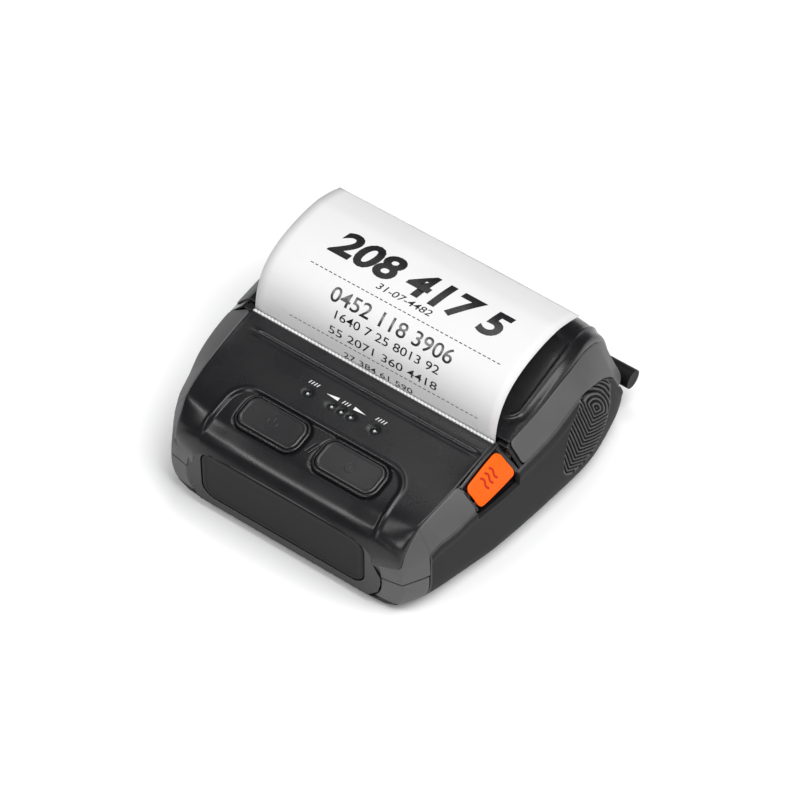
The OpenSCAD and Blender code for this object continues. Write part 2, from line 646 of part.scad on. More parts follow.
// Printing mechanism: frame, motor and gears
lean = atan((platen_z - hinge_z) / (hinge_y - platen_y));
notch_w = bush_d + 0.8;
module gear(at, teeth, bore, turn) difference() {
    pitch_r = gear_m * teeth / 2;
    profile = [[-0.3, pitch_r - 1.25 * gear_m], [-0.1, pitch_r + gear_m],
        [0.1, pitch_r + gear_m], [0.3, pitch_r - 1.25 * gear_m]];
    side_view(gear_x0, gear_x1) polygon([for (i = [0 : teeth - 1]) for (q = profile)
        let(a = turn + (i + q[0]) * 360 / teeth) at + q[1] * [cos(a), sin(a)]]);
    rod(at, bore, 0, big);
}
idler_turn = idler_dir + 180 + 180 / idler_teeth;
idler_phase = ((pinion_dir - idler_turn) * idler_teeth / 360 + idler_teeth) % 1;
module platen_gear() color("#e8e4d8") gear(platen_at, platen_teeth, shaft_d, idler_dir);
module idler_gear() color("#e8e4d8")
    gear(idler_at, idler_teeth, idler_axle_d + 2 * run_fit, idler_turn);
module motor_pinion() color("#c8b070") {
    gear(pinion_at, pinion_teeth, motor_shaft_d,
        pinion_dir + 180 + (idler_phase + 0.5) * 360 / pinion_teeth);
    rod(pinion_at, motor_shaft_d, plate_x - motor_l + 4, gear_x1 + 0.4);
}
module idler_axle() color("#b8b8bc") {
    rod(idler_at, idler_axle_d, plate_x - 1, gear_x1 + 0.1);
    rod(idler_at, idler_axle_d + 2, plate_x - 1.8, plate_x);
}
module stepper_motor() color("#8a8a8e") difference() {
    union() {
        rod(pinion_at, motor_d, plate_x - motor_l, plate_x);
        rod(pinion_at, 5, plate_x - motor_l - 1.5, plate_x - motor_l);
    }
    rod(pinion_at, motor_shaft_d + 2 * run_fit, plate_x - motor_l + 3.6, big);
}
module mech_frame() color("#a8a8ac") {
    back = slot_y + 9.5;
    nip = slot_y - 0.9;
    brow = slot_z - 5.4;
    right_top = idler_at[1] + gear_m * (idler_teeth / 2 + 1);
    right = [[back, flange_z], [back, brow], [nip, brow], [nip, right_top],
        [slot_y - 17, right_top], [slot_y - 22, right_top - 5], [slot_y - 22, right_top - 20],
        [slot_y - 15, right_top - 24], [slot_y - 3, flange_z]];
    left = [[back, flange_z], [back, brow], [nip, brow], [nip, slot_z - 9], [slot_y - 12, slot_z - 9],
        [slot_y - 12, port_z[1] + 3], [slot_y - 3.5, port_z[1]], [slot_y - 3.5, flange_z]];
    difference() {
        union() {
            side_view(plate_x, plate_x + plate_t) polygon(right);
            side_view(-plate_x - plate_t, -plate_x) polygon(left);
        }
        translate([0, platen_y, platen_z]) rotate([-lean, 0, 0]) {
            rotate([0, 90, 0]) cylinder(d = notch_w, h = big, center = true);
            side_view(-big / 2, big / 2) polygon([[-notch_w / 2, 0], [notch_w / 2, 0],
                [notch_w / 2 + 2, 12], [-notch_w / 2, 12]]);
        }
        rod(pivot_at, pivot_d + 2 * run_fit, -big / 2, big / 2);
        rod(idler_at, idler_axle_d, 0, big);
        rod(pinion_at, 4, 0, big);
    }
    wall_y = [spring_wall_y - plate_t, spring_wall_y];
    block([-plate_x, plate_x - motor_l - 2], wall_y, [sink_wide_z - 4.5, slot_z - 7.5]);
    block([plate_x - motor_l - 2, plate_x], wall_y, [sink_wide_z, slot_z - 7.5]);
    block([-plate_x, plate_x], [back - plate_t, back], [flange_z, sensor_z]);
    both_sides() difference() {
        block([plate_x - 12, plate_x], [slot_y, back - 0.1], [flange_z, flange_z + plate_t]);
        for (p = mech_screw_at) upright(p, screw_d, 0, big);
    }
}
sensor_z = platen_z - 7.8;
module media_sensor() color("#18181a")
    block([-7, 7], [slot_y + 7.4, slot_y + 11.6], [sensor_z, sensor_z + 1.6]);
module cover_switch() color("#18181a") {
    y = [platen_y - 4, platen_y + 4];
    block([-plate_x - plate_t - 3.4, -plate_x - plate_t], y, [platen_z - 14, platen_z - 8]);
    block([-plate_x - plate_t - 2.6, -plate_x - plate_t - 1], [y[0] + 5, y[1] - 1],
        [platen_z - 8, platen_z - 6.4]);
}

// Thermal head on its spring-loaded heat sink
module heat_sink() color("#b4b4b8") difference() {
    union() {
        block([-head_half, head_half], [sink_front, sink_back], [head_low, head_low + head_h]);
        for (x = [-38, -24, 24, 38]) rod(pivot_at, pivot_d + 2, x - 3, x + 3);
        for (x = [-38, -24, 24, 38]) block([x - 3, x + 3], [sink_front, sink_back],
            [pivot_at[1], head_low + 1]);
    }
    rod(pivot_at, pivot_d, -big / 2, big / 2);
}
module print_head() color("#e8e6dc") {
    block([-head_half, head_half], [sink_back, head_back], [head_low, head_low + head_h]);
}
module head_shaft() color("#b8b8bc")
    rod(pivot_at, pivot_d, -plate_x - plate_t, plate_x + plate_t);
module head_springs() color("#b0b0b4") for (x = [-spring_at[0], spring_at[0]])
    translate([x, spring_wall_y + 0.9, spring_at[1]]) rotate([-90, 0, 0]) difference() {
        cylinder(d = head_spring_d, h = sink_front - spring_wall_y - 0.9);
        translate([0, 0, -1]) cylinder(d = head_spring_d - 1.2, h = big);
    }
flex_y = board_back + 0.5;
module head_flex() color("#c87830") ribbon([[head_back - 0.7, head_low - 0.4],
    [head_back - 0.8, head_low - 3], [head_back - 1.8, head_low - 6], [pivot_at[0], head_low - 8],
    [sink_front - 2.5, head_low - 8.4], [flex_y + 0.8, head_low - 6], [flex_y, head_low - 2],
    [flex_y, board_z + 0.5]], 0.3, -18, 12);

// Paper bay, roll and web
module roll_bay() color("#2a2a2c") {
    r = bay_d / 2;
    front_top = bay_z + 2.5;
    back_top = bay_z + 6;
    rim_y = bay_y + r + bay_wall;
    difference() {
        union() {
            rod([bay_y, bay_z], bay_d + 2 * bay_wall, -bay_half - bay_wall, bay_half + bay_wall);
            for (y = [bay_y - 14, bay_y + 12]) block([-40, 40], [y, y + 2], [floor_z, bay_z - 20]);
        }
        rod([bay_y, bay_z], bay_d, -bay_half, bay_half);
        side_view(-big / 2, big / 2) polygon([[bay_y - 40, front_top], [bay_y - r + 6, front_top],
            [bay_y - 6, bay_z - 4], [bay_y + 6, bay_z - 4], [bay_y + 14, back_top],
            [bay_y + 18, back_top], [bay_y + 23, back_top - 5], [rim_y + 0.5, back_top - 13],
            [bay_y + 40, back_top - 13], [bay_y + 40, big], [bay_y - 40, big]]);
    }
}
module paper_roll() color("#f2f0ee") difference() {
    rod([bay_y, roll_z], roll_d, -paper_half, paper_half);
    rod([bay_y, roll_z], core_d, -big / 2, big / 2);
}
module roll_core() color("#b89468") difference() {
    rod([bay_y, roll_z], core_d, -paper_half, paper_half);
    rod([bay_y, roll_z], core_d - 2 * core_wall, -big / 2, big / 2);
}
module paper_web() color("#f4f2f0") ribbon(concat([web_high, web_low],
    [for (i = [1 : 7]) let(a = web_dir - (web_dir + 90) * i / 7)
        platen_at + web_r * [sin(a), -cos(a)]]), paper_t, -paper_half, paper_half);

// Printed sheet over the lid: share of its reach, share of its rise
curl = [[0, 0], [0.015, 0.25], [0.05, 0.48], [0.11, 0.68], [0.2, 0.835], [0.31, 0.93],
    [0.43, 0.98], [0.56, 1], [0.7, 0.985], [0.85, 0.9], [1, 0.76]];
module paper_sheet() color("#e8e6e8") ribbon(concat([[slot_y, platen_z + 0.3]],
    [for (c = curl) [slot_y + c[0] * curl_reach, slot_z + c[1] * curl_rise]]),
    paper_t, -paper_half, paper_half);

// Lid
module lid_frame() color("#1e1e20") difference() {
    union() {
        crowned(lid_s);
        for (p = lid_screw_at) upright(p, 6, bar_top, top_at(p[0], p[1]) - 1);
    }
    window_form(0, -big, big);
    for (p = lid_screw_at) upright(p, 2.5, 0, bar_top + 3);
    block([plate_x, gear_x1 + 0.7], [slot_y, slot_y + 11.5], [platen_z, platen_z + 6.6]);
}
// Knuckles welded into the lid, with a tongue reaching into its wall
module lid_knuckles() color("#1e1e20") both_sides() difference() {
    union() {
        rod([hinge_y, hinge_z], barrel_d, lid_arm_x[0], lid_arm_x[1]);
        side_view(lid_arm_x[0] + 0.2, lid_arm_x[1] - 0.2) polygon([
            [hinge_y - 3.4, hinge_z], [hinge_y + 3.4, hinge_z], [hinge_y - 1.2, hinge_z + 3.5],
            [hinge_y - 2.8, hinge_z + 7], [hinge_y - 4, hinge_z + 12],
            [hinge_y - 6, hinge_z + 15.6], [hinge_y - 7.5, hinge_z + 11],
            [hinge_y - 5, hinge_z + 4.6]]);
    }
    rod([hinge_y, hinge_z], pin_d + 2 * run_fit, 0, big);
}
lid_screw_at = [for (i = [-1, 1]) [i * 40, (bar_y[0] + bar_y[1]) / 2]];
module window_form(grow, z0, z1) {
    translate([0, (window_y[0] + window_y[1]) / 2, z0]) linear_extrude(z1 - z0)
        rounded(window_w + 2 * grow, window_y[1] - window_y[0] + 2 * grow, window_r + grow);
}
module lid_window() color("#303236") intersection() {
    shell([for (s = lid_s) if (s > 0.13 && s < 0.9) arch([for (p = pick(s, 0, 0, [9, 10, top], 0))
            p - [0, 0, 0.4]])],
        [for (s = lid_s) if (s > 0.13 && s < 0.9) arch([for (p = pick(s, 0, 0, [9, 10, top], 0))
            p - [0, 0, 1.8]])], "over");
    window_form(-0.1, 0, big / 2);
}
module cheek(side) color("#68686b") for_side(side) {
    s_list = concat([for (s = lid_s) if (s < cheek_end_s) s], [cheek_end_s]);
    shell([for (s = s_list) concat([side_at(s, 0, trim_low(s))], pick(s, 0, 0, [edge, rim], 0))],
        [for (s = s_list) concat([side_at(s, trim_t, trim_low(s))],
            pick(s, trim_t, trim_t, [edge, rim], trim_t))]);
}
module lid_cheek_left() cheek(-1);
module lid_cheek_right() cheek(1);

// Platen on the lid
bar_h = 3.6;
module platen_holder() color("#8a8a8e") difference() {
    union() {
        block([-arm_x0 - arm_t, arm_x0 + arm_t], bar_y, [bar_top - bar_h, bar_top]);
        both_sides() side_view(arm_x0, arm_x0 + arm_t) polygon([[bar_y[0] - 0.2, bar_top],
            [bar_y[1], bar_top], [bar_y[1], bar_top - bar_h], [platen_y + 4, platen_z],
            [platen_y, platen_z - 2], [platen_y - 4.2, platen_z + 1.5]]);
        both_sides() rod(platen_at, 2 * (web_r - paper_t) , arm_x0, arm_x0 + arm_t);
    }
    rod(platen_at, bush_d, -big / 2, big / 2);
    for (p = lid_screw_at) upright(p, 2.5, 0, big);
}
module platen_bushes() color("#a88848") both_sides() difference() {
    rod(platen_at, bush_d, arm_x0, bush_x1);
    rod(platen_at, shaft_d + 2 * run_fit, 0, big);
}
module platen_shaft() color("#c0c0c4") rod(platen_at, shaft_d, -bush_x1 - 0.4, gear_x1 + 0.1);
module platen_rubber() color("#1c1c1c") difference() {
    rod(platen_at, platen_d, -rubber_half, rubber_half);
    rod(platen_at, shaft_d, -big / 2, big / 2);
}
module lid_screws() color("#b0b0b4") for (p = lid_screw_at) {
    upright(p, 4.6, bar_top - bar_h - 1.4, bar_top - bar_h);
    upright(p, 2.5, bar_top - bar_h, bar_top + 3);
}

// Battery
pack_top = pack_z + pack_h / 2;
module battery_pack() color("#2c2c2e") {
    front_view(front_y + panel_t, front_y + panel_t + battery_l) translate([0, pack_z])
        rounded(pack_w, pack_h, 3);
}
module battery_panel() color("#252527") {
    panel_form(0, front_y, front_y + panel_t);
}

// Hinge pin, feet and screws
module hinge_pin() color("#b8b8bc") rod([hinge_y, hinge_z], pin_d, -base_arm_x[1], base_arm_x[1]);
module hinge_caps() color("#303032") both_sides()
    rod([hinge_y, hinge_z], barrel_d, base_arm_x[1], base_arm_x[1] + 1.6);
module rubber_feet() color("#242424") for (p = foot_at) upright(p, foot_d, 0, foot_h + foot_seat);
module case_screws() color("#404044") for (p = case_screw_at) {
    upright(p, screw_d + 2.4, foot_h + 1.2, foot_h + 3);
    upright(p, screw_d, foot_h + 3, corner_seam_z + 9);
}
module mech_screws() color("#b0b0b4") for (p = mech_screw_at) {
    upright(p, screw_d, foot_h + 1.2, flange_z + plate_t);
    upright(p, screw_d + 2.4, flange_z + plate_t, flange_z + plate_t + 1.8);
}
module board_screws() color("#b0b0b4") for (p = board_post_at) {
    upright(p, 4, board_z - 1.4, board_z);
    upright(p, 2, board_z, board_top + 4.6);
}

// Rubber port cover on the left side
module port_cover() color("#303032") for_side(-1) {
    s_list = [for (i = [0 : 5]) station_of(port_y[0] + (port_y[1] - port_y[0]) * i / 5)];
    z = [port_z[0], (port_z[0] + port_z[1]) / 2, port_z[1]];
    shell([for (s = s_list) [for (k = z) side_at(s, 0, k)]],
        [for (s = s_list) [for (k = z) let(p = side_at(s, 1.8, k)) [p[0], station_y(s), k]]]);
    ends = [for (s = [s_list[0], s_list[5]]) side_at(s, -0.1, port_hinge_z)];
    span = ends[1] - ends[0];
    translate([ends[0][0], port_y[0] + 0.4, port_hinge_z])
        rotate([0, 0, atan2(span[1], span[0])]) rotate([0, 90, 0])
        cylinder(d = port_hinge_d, h = norm(span) - 0.8);
}

base_case();
side_grip_left();
side_grip_right();
corner_bumper_left();
corner_bumper_right();
front_cover();
side_trim_left();
side_trim_right();
tear_bar();
light_pipes();
main_board();
radio_module();
buzzer();
button_switches();
io_board();
usb_port();
serial_port();
dc_jack();
mech_frame();
stepper_motor();
idler_axle();
roll_bay();
media_sensor();
cover_switch();
hinge_pin();
hinge_caps();
rubber_feet();
case_screws();
mech_screws();
board_screws();
head_flex();
release_spring();
head_springs();
paper_web();
release_button();
heat_sink();
print_head();
head_shaft();
lid_frame();
lid_knuckles();
lid_window();
lid_cheek_left();
lid_cheek_right();
platen_holder();
platen_bushes();
lid_screws();
paper_sheet();
platen_shaft();
platen_rubber();
platen_gear();
idler_gear();
motor_pinion();
paper_roll();
roll_core();
power_button();
feed_button();
battery_pack();
battery_panel();
battery_contacts();
port_cover();
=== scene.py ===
import bpy, bmesh, json, math
from bisect import bisect_right
from mathutils import Matrix, Vector

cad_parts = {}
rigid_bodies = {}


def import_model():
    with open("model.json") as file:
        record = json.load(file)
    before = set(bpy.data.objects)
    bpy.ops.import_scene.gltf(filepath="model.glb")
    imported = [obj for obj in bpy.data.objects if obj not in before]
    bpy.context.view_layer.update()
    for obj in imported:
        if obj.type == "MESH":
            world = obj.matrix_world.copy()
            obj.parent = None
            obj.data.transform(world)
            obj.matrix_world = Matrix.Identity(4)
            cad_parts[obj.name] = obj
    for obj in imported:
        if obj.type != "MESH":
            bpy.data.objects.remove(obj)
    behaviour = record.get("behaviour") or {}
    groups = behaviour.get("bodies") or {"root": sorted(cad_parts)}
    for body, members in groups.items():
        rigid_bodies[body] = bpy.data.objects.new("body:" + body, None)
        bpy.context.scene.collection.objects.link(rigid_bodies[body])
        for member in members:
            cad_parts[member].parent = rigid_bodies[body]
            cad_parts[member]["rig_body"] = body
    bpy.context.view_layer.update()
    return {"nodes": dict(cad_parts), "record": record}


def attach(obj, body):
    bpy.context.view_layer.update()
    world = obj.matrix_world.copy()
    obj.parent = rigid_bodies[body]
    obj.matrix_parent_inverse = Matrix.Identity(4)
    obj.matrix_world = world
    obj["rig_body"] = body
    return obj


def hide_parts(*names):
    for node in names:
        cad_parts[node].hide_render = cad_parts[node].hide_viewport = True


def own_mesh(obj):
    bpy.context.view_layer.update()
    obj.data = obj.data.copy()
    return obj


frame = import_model()
scene = bpy.context.scene
mm = 0.001
print("printer frame loaded with", len(frame["nodes"]), "nodes")

# camera of the product shot
cameraView = {"turn": 36, "height": 50, "lens": 180.45, "at": (0.5838, -0.7992, 1.2013)}
cameraData = bpy.data.cameras.new("shotCamera")
cameraData.lens = cameraView["lens"]
cameraData.sensor_width = 36
cameraData.clip_end = 20
shotCamera = bpy.data.objects.new("shotCamera", cameraData)
shotCamera.location = cameraView["at"]
shotCamera.rotation_euler = (math.radians(90 - cameraView["height"]), 0, math.radians(cameraView["turn"]))
scene.collection.objects.link(shotCamera)
scene.camera = shotCamera


# smooth curves through rows of (station, size in mm)
def smoothRows(rows):
    xs = [r[0] for r in rows]
    ys = [r[1] for r in rows]
    count = len(rows)
    rise = [(ys[i + 1] - ys[i]) / (xs[i + 1] - xs[i]) for i in range(count - 1)]
    slope = [rise[0]] + [0.0] * (count - 2) + [rise[-1]]
    for i in range(1, count - 1):
        if rise[i - 1] * rise[i] > 0:
            wa = 2 * (xs[i + 1] - xs[i]) + xs[i] - xs[i - 1]
            wb = xs[i + 1] - xs[i] + 2 * (xs[i] - xs[i - 1])
            slope[i] = (wa + wb) / (wa / rise[i - 1] + wb / rise[i])

    def at(x):
        x = min(max(x, xs[0]), xs[-1])
        i = min(bisect_right(xs, x) - 1, count - 2)
        h = xs[i + 1] - xs[i]
        t = (x - xs[i]) / h
        return ((1 + 2 * t) * (1 - t) ** 2 * ys[i] + t * (1 - t) ** 2 * h * slope[i]
                + t * t * (3 - 2 * t) * ys[i + 1] + t * t * (t - 1) * h * slope[i + 1])
    return at


def ease(a, b, x):
    t = min(max((x - a) / (b - a), 0), 1)
    return t * t * (3 - 2 * t)


# body form: stations run from -1 at the front over 0 at the slot to 1 at the rear end
body = {"slotY": -12.5, "frontLen": 58.5, "rearLen": 79.4, "halfWidth": 73.2, "slotZ": 49.9,
        "foot": 1.6, "widestZ": 15, "underCurve": 8, "cornerStation": -0.795, "cornerSeamZ": 19.1,
        "lip": 0.6, "seam": 0.5}
cornerNarrowing = smoothRows([[-1, 30.2], [-0.966, 18.7]])
sideNarrowing = smoothRows([[-0.966, 18.7], [-0.795, 13.2], [-0.47, 8.2], [-0.214, 4.9],
    [0, 3.2], [0.2, 1.6], [0.5, 0], [0.765, 3.2], [0.9, 6.7], [0.945, 9.2], [0.98, 13.2], [1, 21.2]])
sideLean = smoothRows([[-1, 0.5], [-0.45, 0.5], [-0.2, 1.5], [0, 2.5], [0.23, 3.8], [0.5, 5.2],
    [0.67, 4.5], [0.8, 3], [0.9, 1.2], [1, 0.5]])
gripTop = smoothRows([[-1, -29.9], [-0.966, -25.9], [-0.8, -18.9], [-0.71, -14.8],
    [-0.58, -13.7], [-0.45, -11], [-0.03, -8.1], [0.24, -7.6], [0.5, -4], [0.66, -8.4],
    [0.8, -16.7], [0.89, -28.5], [1, -28.9]])
rimHalfFront = smoothRows([[-1, 42], [-0.95, 53], [-0.92, 53.2], [-0.86, 53.6], [-0.78, 54.3],
    [-0.5, 56], [0, 56.8]])
rimHalfLid = smoothRows([[0, 61], [0.5, 60.8], [0.75, 59], [0.87, 58], [0.93, 57], [1, 46]])
rimHeight = smoothRows([[-1, -24.9], [-0.95, -21.9], [-0.92, -16.9], [-0.86, -11.9],
    [-0.78, -6.9], [-0.5, -3.1], [-0.07, 0], [0.22, 0.1], [0.5, 2.8], [0.635, 3.1], [0.75, 0.4],
    [0.87, -7.5], [0.93, -17.5], [1, -28.4]])
crestHeight = smoothRows([[-1, -14.1], [-0.985, -12.6], [-0.95, -10], [-0.9, -8.1],
    [-0.82, -6.1], [-0.65, -4.3], [-0.36, -2.2], [-0.05, 0], [0.03, 0.4], [0.22, 3.1],
    [0.41, 7.6], [0.56, 11.1], [0.65, 11.6], [0.75, 9.6], [0.83, 4.6], [0.9, -3.9],
    [0.95, -13.4], [0.98, -20.9], [1, -27.9]])
keel = smoothRows([[-1, 3], [-0.97, 1], [-0.93, 0], [0.9, 0], [0.95, 1.4], [1, 5]])


def stationOf(y):
    return (y - body["slotY"]) / (body["frontLen"] if y < body["slotY"] else body["rearLen"])


def stationY(s):
    return body["slotY"] + s * (body["frontLen"] if s < 0 else body["rearLen"])


def sideX(s):
    return body["halfWidth"] - (cornerNarrowing(s) if s < -0.966 else sideNarrowing(s))


def rimX(s):
    return min((rimHalfFront if s < 0 else rimHalfLid)(s), sideX(s) - 1)


def crown(share):
    return max(1 - share ** 3, 0) ** (1 / 3)


def topZ(s, x):
    low = body["slotZ"] + rimHeight(s)
    return low + (body["slotZ"] + crestHeight(s) - low) * crown(min(abs(x) / rimX(s), 1))


def topAt(x, y):
    return topZ(stationOf(y), x)


def edgePoint(s, inset=0):
    return Vector((sideX(s) - sideLean(s) - inset, stationY(s), body["slotZ"] + gripTop(s)))


def rimPoint(s, inset=0):
    return Vector((rimX(s) - inset, stationY(s), body["slotZ"] + rimHeight(s) - 0.8 * inset))


def sidePoint(s, z, inset=0):
    top = max(body["slotZ"] + gripTop(s), body["widestZ"] + 2)
    t = min(max((z - body["widestZ"]) / (top - body["widestZ"]), 0), 1)
    return Vector((sideX(s) - inset - sideLean(s) * t * t, stationY(s), min(z, top)))


def underPoint(s, angle):
    low = body["foot"] + keel(s)
    a = math.radians(angle)
    u = body["underCurve"]
    x = sideX(s) - u + u * math.sin(a)
    return Vector((x, stationY(s), low + (body["widestZ"] - low) * (1 - math.cos(a))))


def trimLow(s):
    if s < body["cornerStation"]:
        return body["cornerSeamZ"]
    return max(body["slotZ"] + gripTop(s) - body["lip"], body["cornerSeamZ"])


def alongPath(points, t):
    lengths = [(points[i + 1] - points[i]).length for i in range(len(points) - 1)]
    want = t * sum(lengths)
    for i, step in enumerate(lengths):
        if want <= step or i == len(lengths) - 1:
            return points[i].lerp(points[i + 1], min(want / max(step, 1e-6), 1))
        want -= step


# grid lines in mm, closer at the ends and in the fine windows (from, to, step)
endSteps = [0, 0.06, 0.15, 0.28, 0.46, 0.7, 1.05]


def gridLines(start, stop, step, fine=(), closeEnds=(True, True)):
    ends = []
    if closeEnds[0]:
        ends += [start + e for e in endSteps]
    if closeEnds[1]:
        ends += [stop - e for e in endSteps]
    marks = [start]
    here = start
    while here < stop:
        size = step
        for low, high, small in fine:
            if low - small < here < high:
                size = min(size, small)
            elif here <= low < here + size:
                size = low - here + 0.001
        here += size
        marks.append(min(here, stop))
    first = start + (endSteps[-1] if closeEnds[0] else -1)
    last = stop - (endSteps[-1] if closeEnds[1] else -1)
    inner = [m for m in marks if first < m < last and all(abs(m - e) > 0.12 for e in ends)]
    lines = sorted(set(round(m, 5) for m in ends + inner + [start, stop]))
    return [m for m in lines if 0 <= m - start <= stop - start + 1e-6]


# grid lines across a skin, from 0 to 1, with no crowding at the ends
def evenLines(step, fine=()):
    return gridLines(0, 1, step, fine, (False, False))


def rolled(distance, radius):
    if distance >= radius:
        return 0
    return radius - math.sqrt(max(radius * radius - (radius - distance) ** 2, 0))


def shadeSmooth(form):
    for f in form.faces:
        f.smooth = True


# one moulded skin: a grid laid on spot(a, b) in mm, its borders rolled in by roll (first and last a, first
# and last b), its relief raised and its mark kept for the finish
def skin(name, spot, aLines, bLines, roll, relief=None, mark=None, thick=2.0, out=None, flip=False):
    form = bmesh.new()
    edgeHighlightLayer = form.verts.layers.float.new("edge")
    markLayer = form.verts.layers.float.new("mark")
    na, nb = len(aLines) - 1, len(bLines) - 1
    bmesh.ops.create_grid(form, x_segments=na, y_segments=nb, size=1)
    cell = {}
    for v in form.verts:
        cell[round((v.co.x + 1) / 2 * na), round((v.co.y + 1) / 2 * nb)] = v
    spots = {k: spot(aLines[k[0]], bLines[k[1]]) for k in cell}
    fromA = {}
    fromB = {}
    for j in range(nb + 1):
        run = [0]
        for i in range(na):
            run.append(run[-1] + (spots[i + 1, j] - spots[i, j]).length)
        for i in range(na + 1):
            fromA[i, j] = (run[i], run[-1] - run[i])
    for i in range(na + 1):
        run = [0]
        for j in range(nb):
            run.append(run[-1] + (spots[i, j + 1] - spots[i, j]).length)
        for j in range(nb + 1):
            fromB[i, j] = (run[j], run[-1] - run[j])
    turned = 0
    for (i, j), v in cell.items():
        da = spots[min(i + 1, na), j] - spots[max(i - 1, 0), j]
        db = spots[i, min(j + 1, nb)] - spots[i, max(j - 1, 0)]
        normal = da.cross(db)
        if normal.length < 1e-9:
            normal = Vector((0, 0, 1))
        normal.normalize()
        if (normal.dot(out(spots[i, j])) if out else normal.z) < 0:
            normal.negate()
            turned += 1
        reach = list(fromA[i, j]) + list(fromB[i, j])
        drop = max(rolled(d, r) if r else 0 for d, r in zip(reach, roll))
        near = min([d for d, r in zip(reach, roll) if r] + [9])
        # strength of the painted edge highlight: full at the rolled borders, gone 0.8 mm in
        v[edgeHighlightLayer] = max(0, 1 - near / 0.8)
        lift = relief(spots[i, j], v, edgeHighlightLayer) if relief else 0
        if mark:
            v[markLayer] = mark(spots[i, j])
        v.co = (spots[i, j] + normal * (lift - drop)) * mm
        if flip:
            v.co.x = -v.co.x
    if (turned > len(cell) / 2) != flip:
        bmesh.ops.reverse_faces(form, faces=form.faces)
    shadeSmooth(form)
    piece = newObject(name, form)
    wall = piece.modifiers.new("wall", "SOLIDIFY")
    wall.thickness = thick * mm
    wall.offset = -1
    wall.use_even_offset = False
    return piece


def newObject(name, form):
    mesh = bpy.data.meshes.new(name)
    form.to_mesh(mesh)
    form.free()
    piece = bpy.data.objects.new(name, mesh)
    scene.collection.objects.link(piece)
    return piece


def meshOf(piece):
    bpy.context.view_layer.update()
    return bpy.data.meshes.new_from_object(piece.evaluated_get(bpy.context.evaluated_depsgraph_get()))


def discard(piece):
    bpy.data.batch_remove((piece, piece.data))


def bake(piece):
    result = meshOf(piece)
    piece.modifiers.clear()
    old = piece.data
    piece.data = result
    bpy.data.meshes.remove(old)
    return piece


def cut(piece, tool, how="DIFFERENCE"):
    knife = piece.modifiers.new("cut", "BOOLEAN")
    knife.operation = how
    knife.solver = "MANIFOLD"
    knife.object = tool
    before = len(piece.data.polygons)
    bake(piece)
    print(piece.name, how.lower(), before, "->", len(piece.data.polygons))
    discard(tool)


def softEdges(piece, width, angle):
    edges = piece.modifiers.new("edges", "BEVEL")
    edges.width = width * mm
    edges.segments = 2
    edges.limit_method = "ANGLE"
    edges.angle_limit = math.radians(angle)
    edges.use_clamp_overlap = True


def joined(name, pieces):
    form = bmesh.new()
    for piece in pieces:
        bake(piece)
        form.from_mesh(piece.data)
        discard(piece)
    return newObject(name, form)


def putAt(piece, matrix):
    piece.data.transform(matrix)
    piece.data.update()
    return piece


def shift(x, y, z):
    return Matrix.Translation((x * mm, y * mm, z * mm))


# a face through points in mm
def facet(form, points):
    return form.faces.new([form.verts.new((x * mm, y * mm, z * mm)) for x, y, z in points])


# faces pulled out by x, y and z mm; the new ends come back
def pullOut(form, faces, x, y, z):
    raised = bmesh.ops.extrude_face_region(form, geom=faces)["geom"]
    rising = [v for v in raised if isinstance(v, bmesh.types.BMVert)]
    bmesh.ops.translate(form, vec=(x * mm, y * mm, z * mm), verts=rising)
    return [f for f in raised if isinstance(f, bmesh.types.BMFace)]


def box(name, size, middle):
    form = bmesh.new()
    bmesh.ops.create_cube(form, size=1)
    bmesh.ops.scale(form, vec=[side * mm for side in size], verts=form.verts)
    return putAt(newObject(name, form), shift(*middle))


# rounded plate lying in its own plane, front face up, then turned into place; sharp unless soft is given
def roundedPlate(name, width, length, corner, height, soft=0.01, dish=None):
    form = bmesh.new()
    bmesh.ops.create_grid(form, x_segments=1, y_segments=1, size=0.5)
    bmesh.ops.scale(form, vec=(width * mm, length * mm, 1), verts=form.verts)
    bmesh.ops.bevel(form, geom=form.verts[:], offset=corner * mm, segments=8, affect="VERTICES",
                    profile=0.5, material=-1)
    form.faces.ensure_lookup_table()
    form.normal_update()
    if form.faces[0].normal.z < 0:
        bmesh.ops.reverse_faces(form, faces=form.faces)
    top = pullOut(form, form.faces[:], 0, 0, height)
    rimEdges = list({e for f in top for e in f.edges})
    bmesh.ops.bevel(form, geom=rimEdges, offset=soft * mm, segments=3, affect="EDGES", profile=0.5,
                    material=-1)
    if dish:
        margin, slope, deep = dish
        high = max(v.co.z for v in form.verts)
        flat = [f for f in form.faces if all(abs(v.co.z - high) < 1e-7 for v in f.verts)]
        bmesh.ops.inset_region(form, faces=flat, thickness=margin * mm, depth=0)
        flat = [f for f in form.faces if all(abs(v.co.z - high) < 1e-7 for v in f.verts) and len(f.verts) > 8]
        bmesh.ops.inset_region(form, faces=flat, thickness=slope * mm, depth=-deep * mm)
    bmesh.ops.recalc_face_normals(form, faces=form.faces)
    for f in form.faces:
        f.smooth = len(f.verts) < 8
    return newObject(name, form)


# a curve or text as a mesh
def curveMesh(curve):
    holder = bpy.data.objects.new(curve.name, curve)
    scene.collection.objects.link(holder)
    mesh = meshOf(holder)
    discard(holder)
    return mesh


def tube(name, points, radius, closed=False):
    curve = bpy.data.curves.new(name, "CURVE")
    curve.dimensions = "3D"
    curve.bevel_depth = radius * mm
    curve.bevel_resolution = 2
    curve.use_fill_caps = True
    line = curve.splines.new("POLY")
    line.points.add(len(points) - 1)
    for spotPoint, p in zip(line.points, points):
        spotPoint.co = (p[0] * mm, p[1] * mm, p[2] * mm, 1)
    line.use_cyclic_u = closed
    line.use_smooth = True
    piece = bpy.data.objects.new(name, curveMesh(curve))
    scene.collection.objects.link(piece)
    return piece


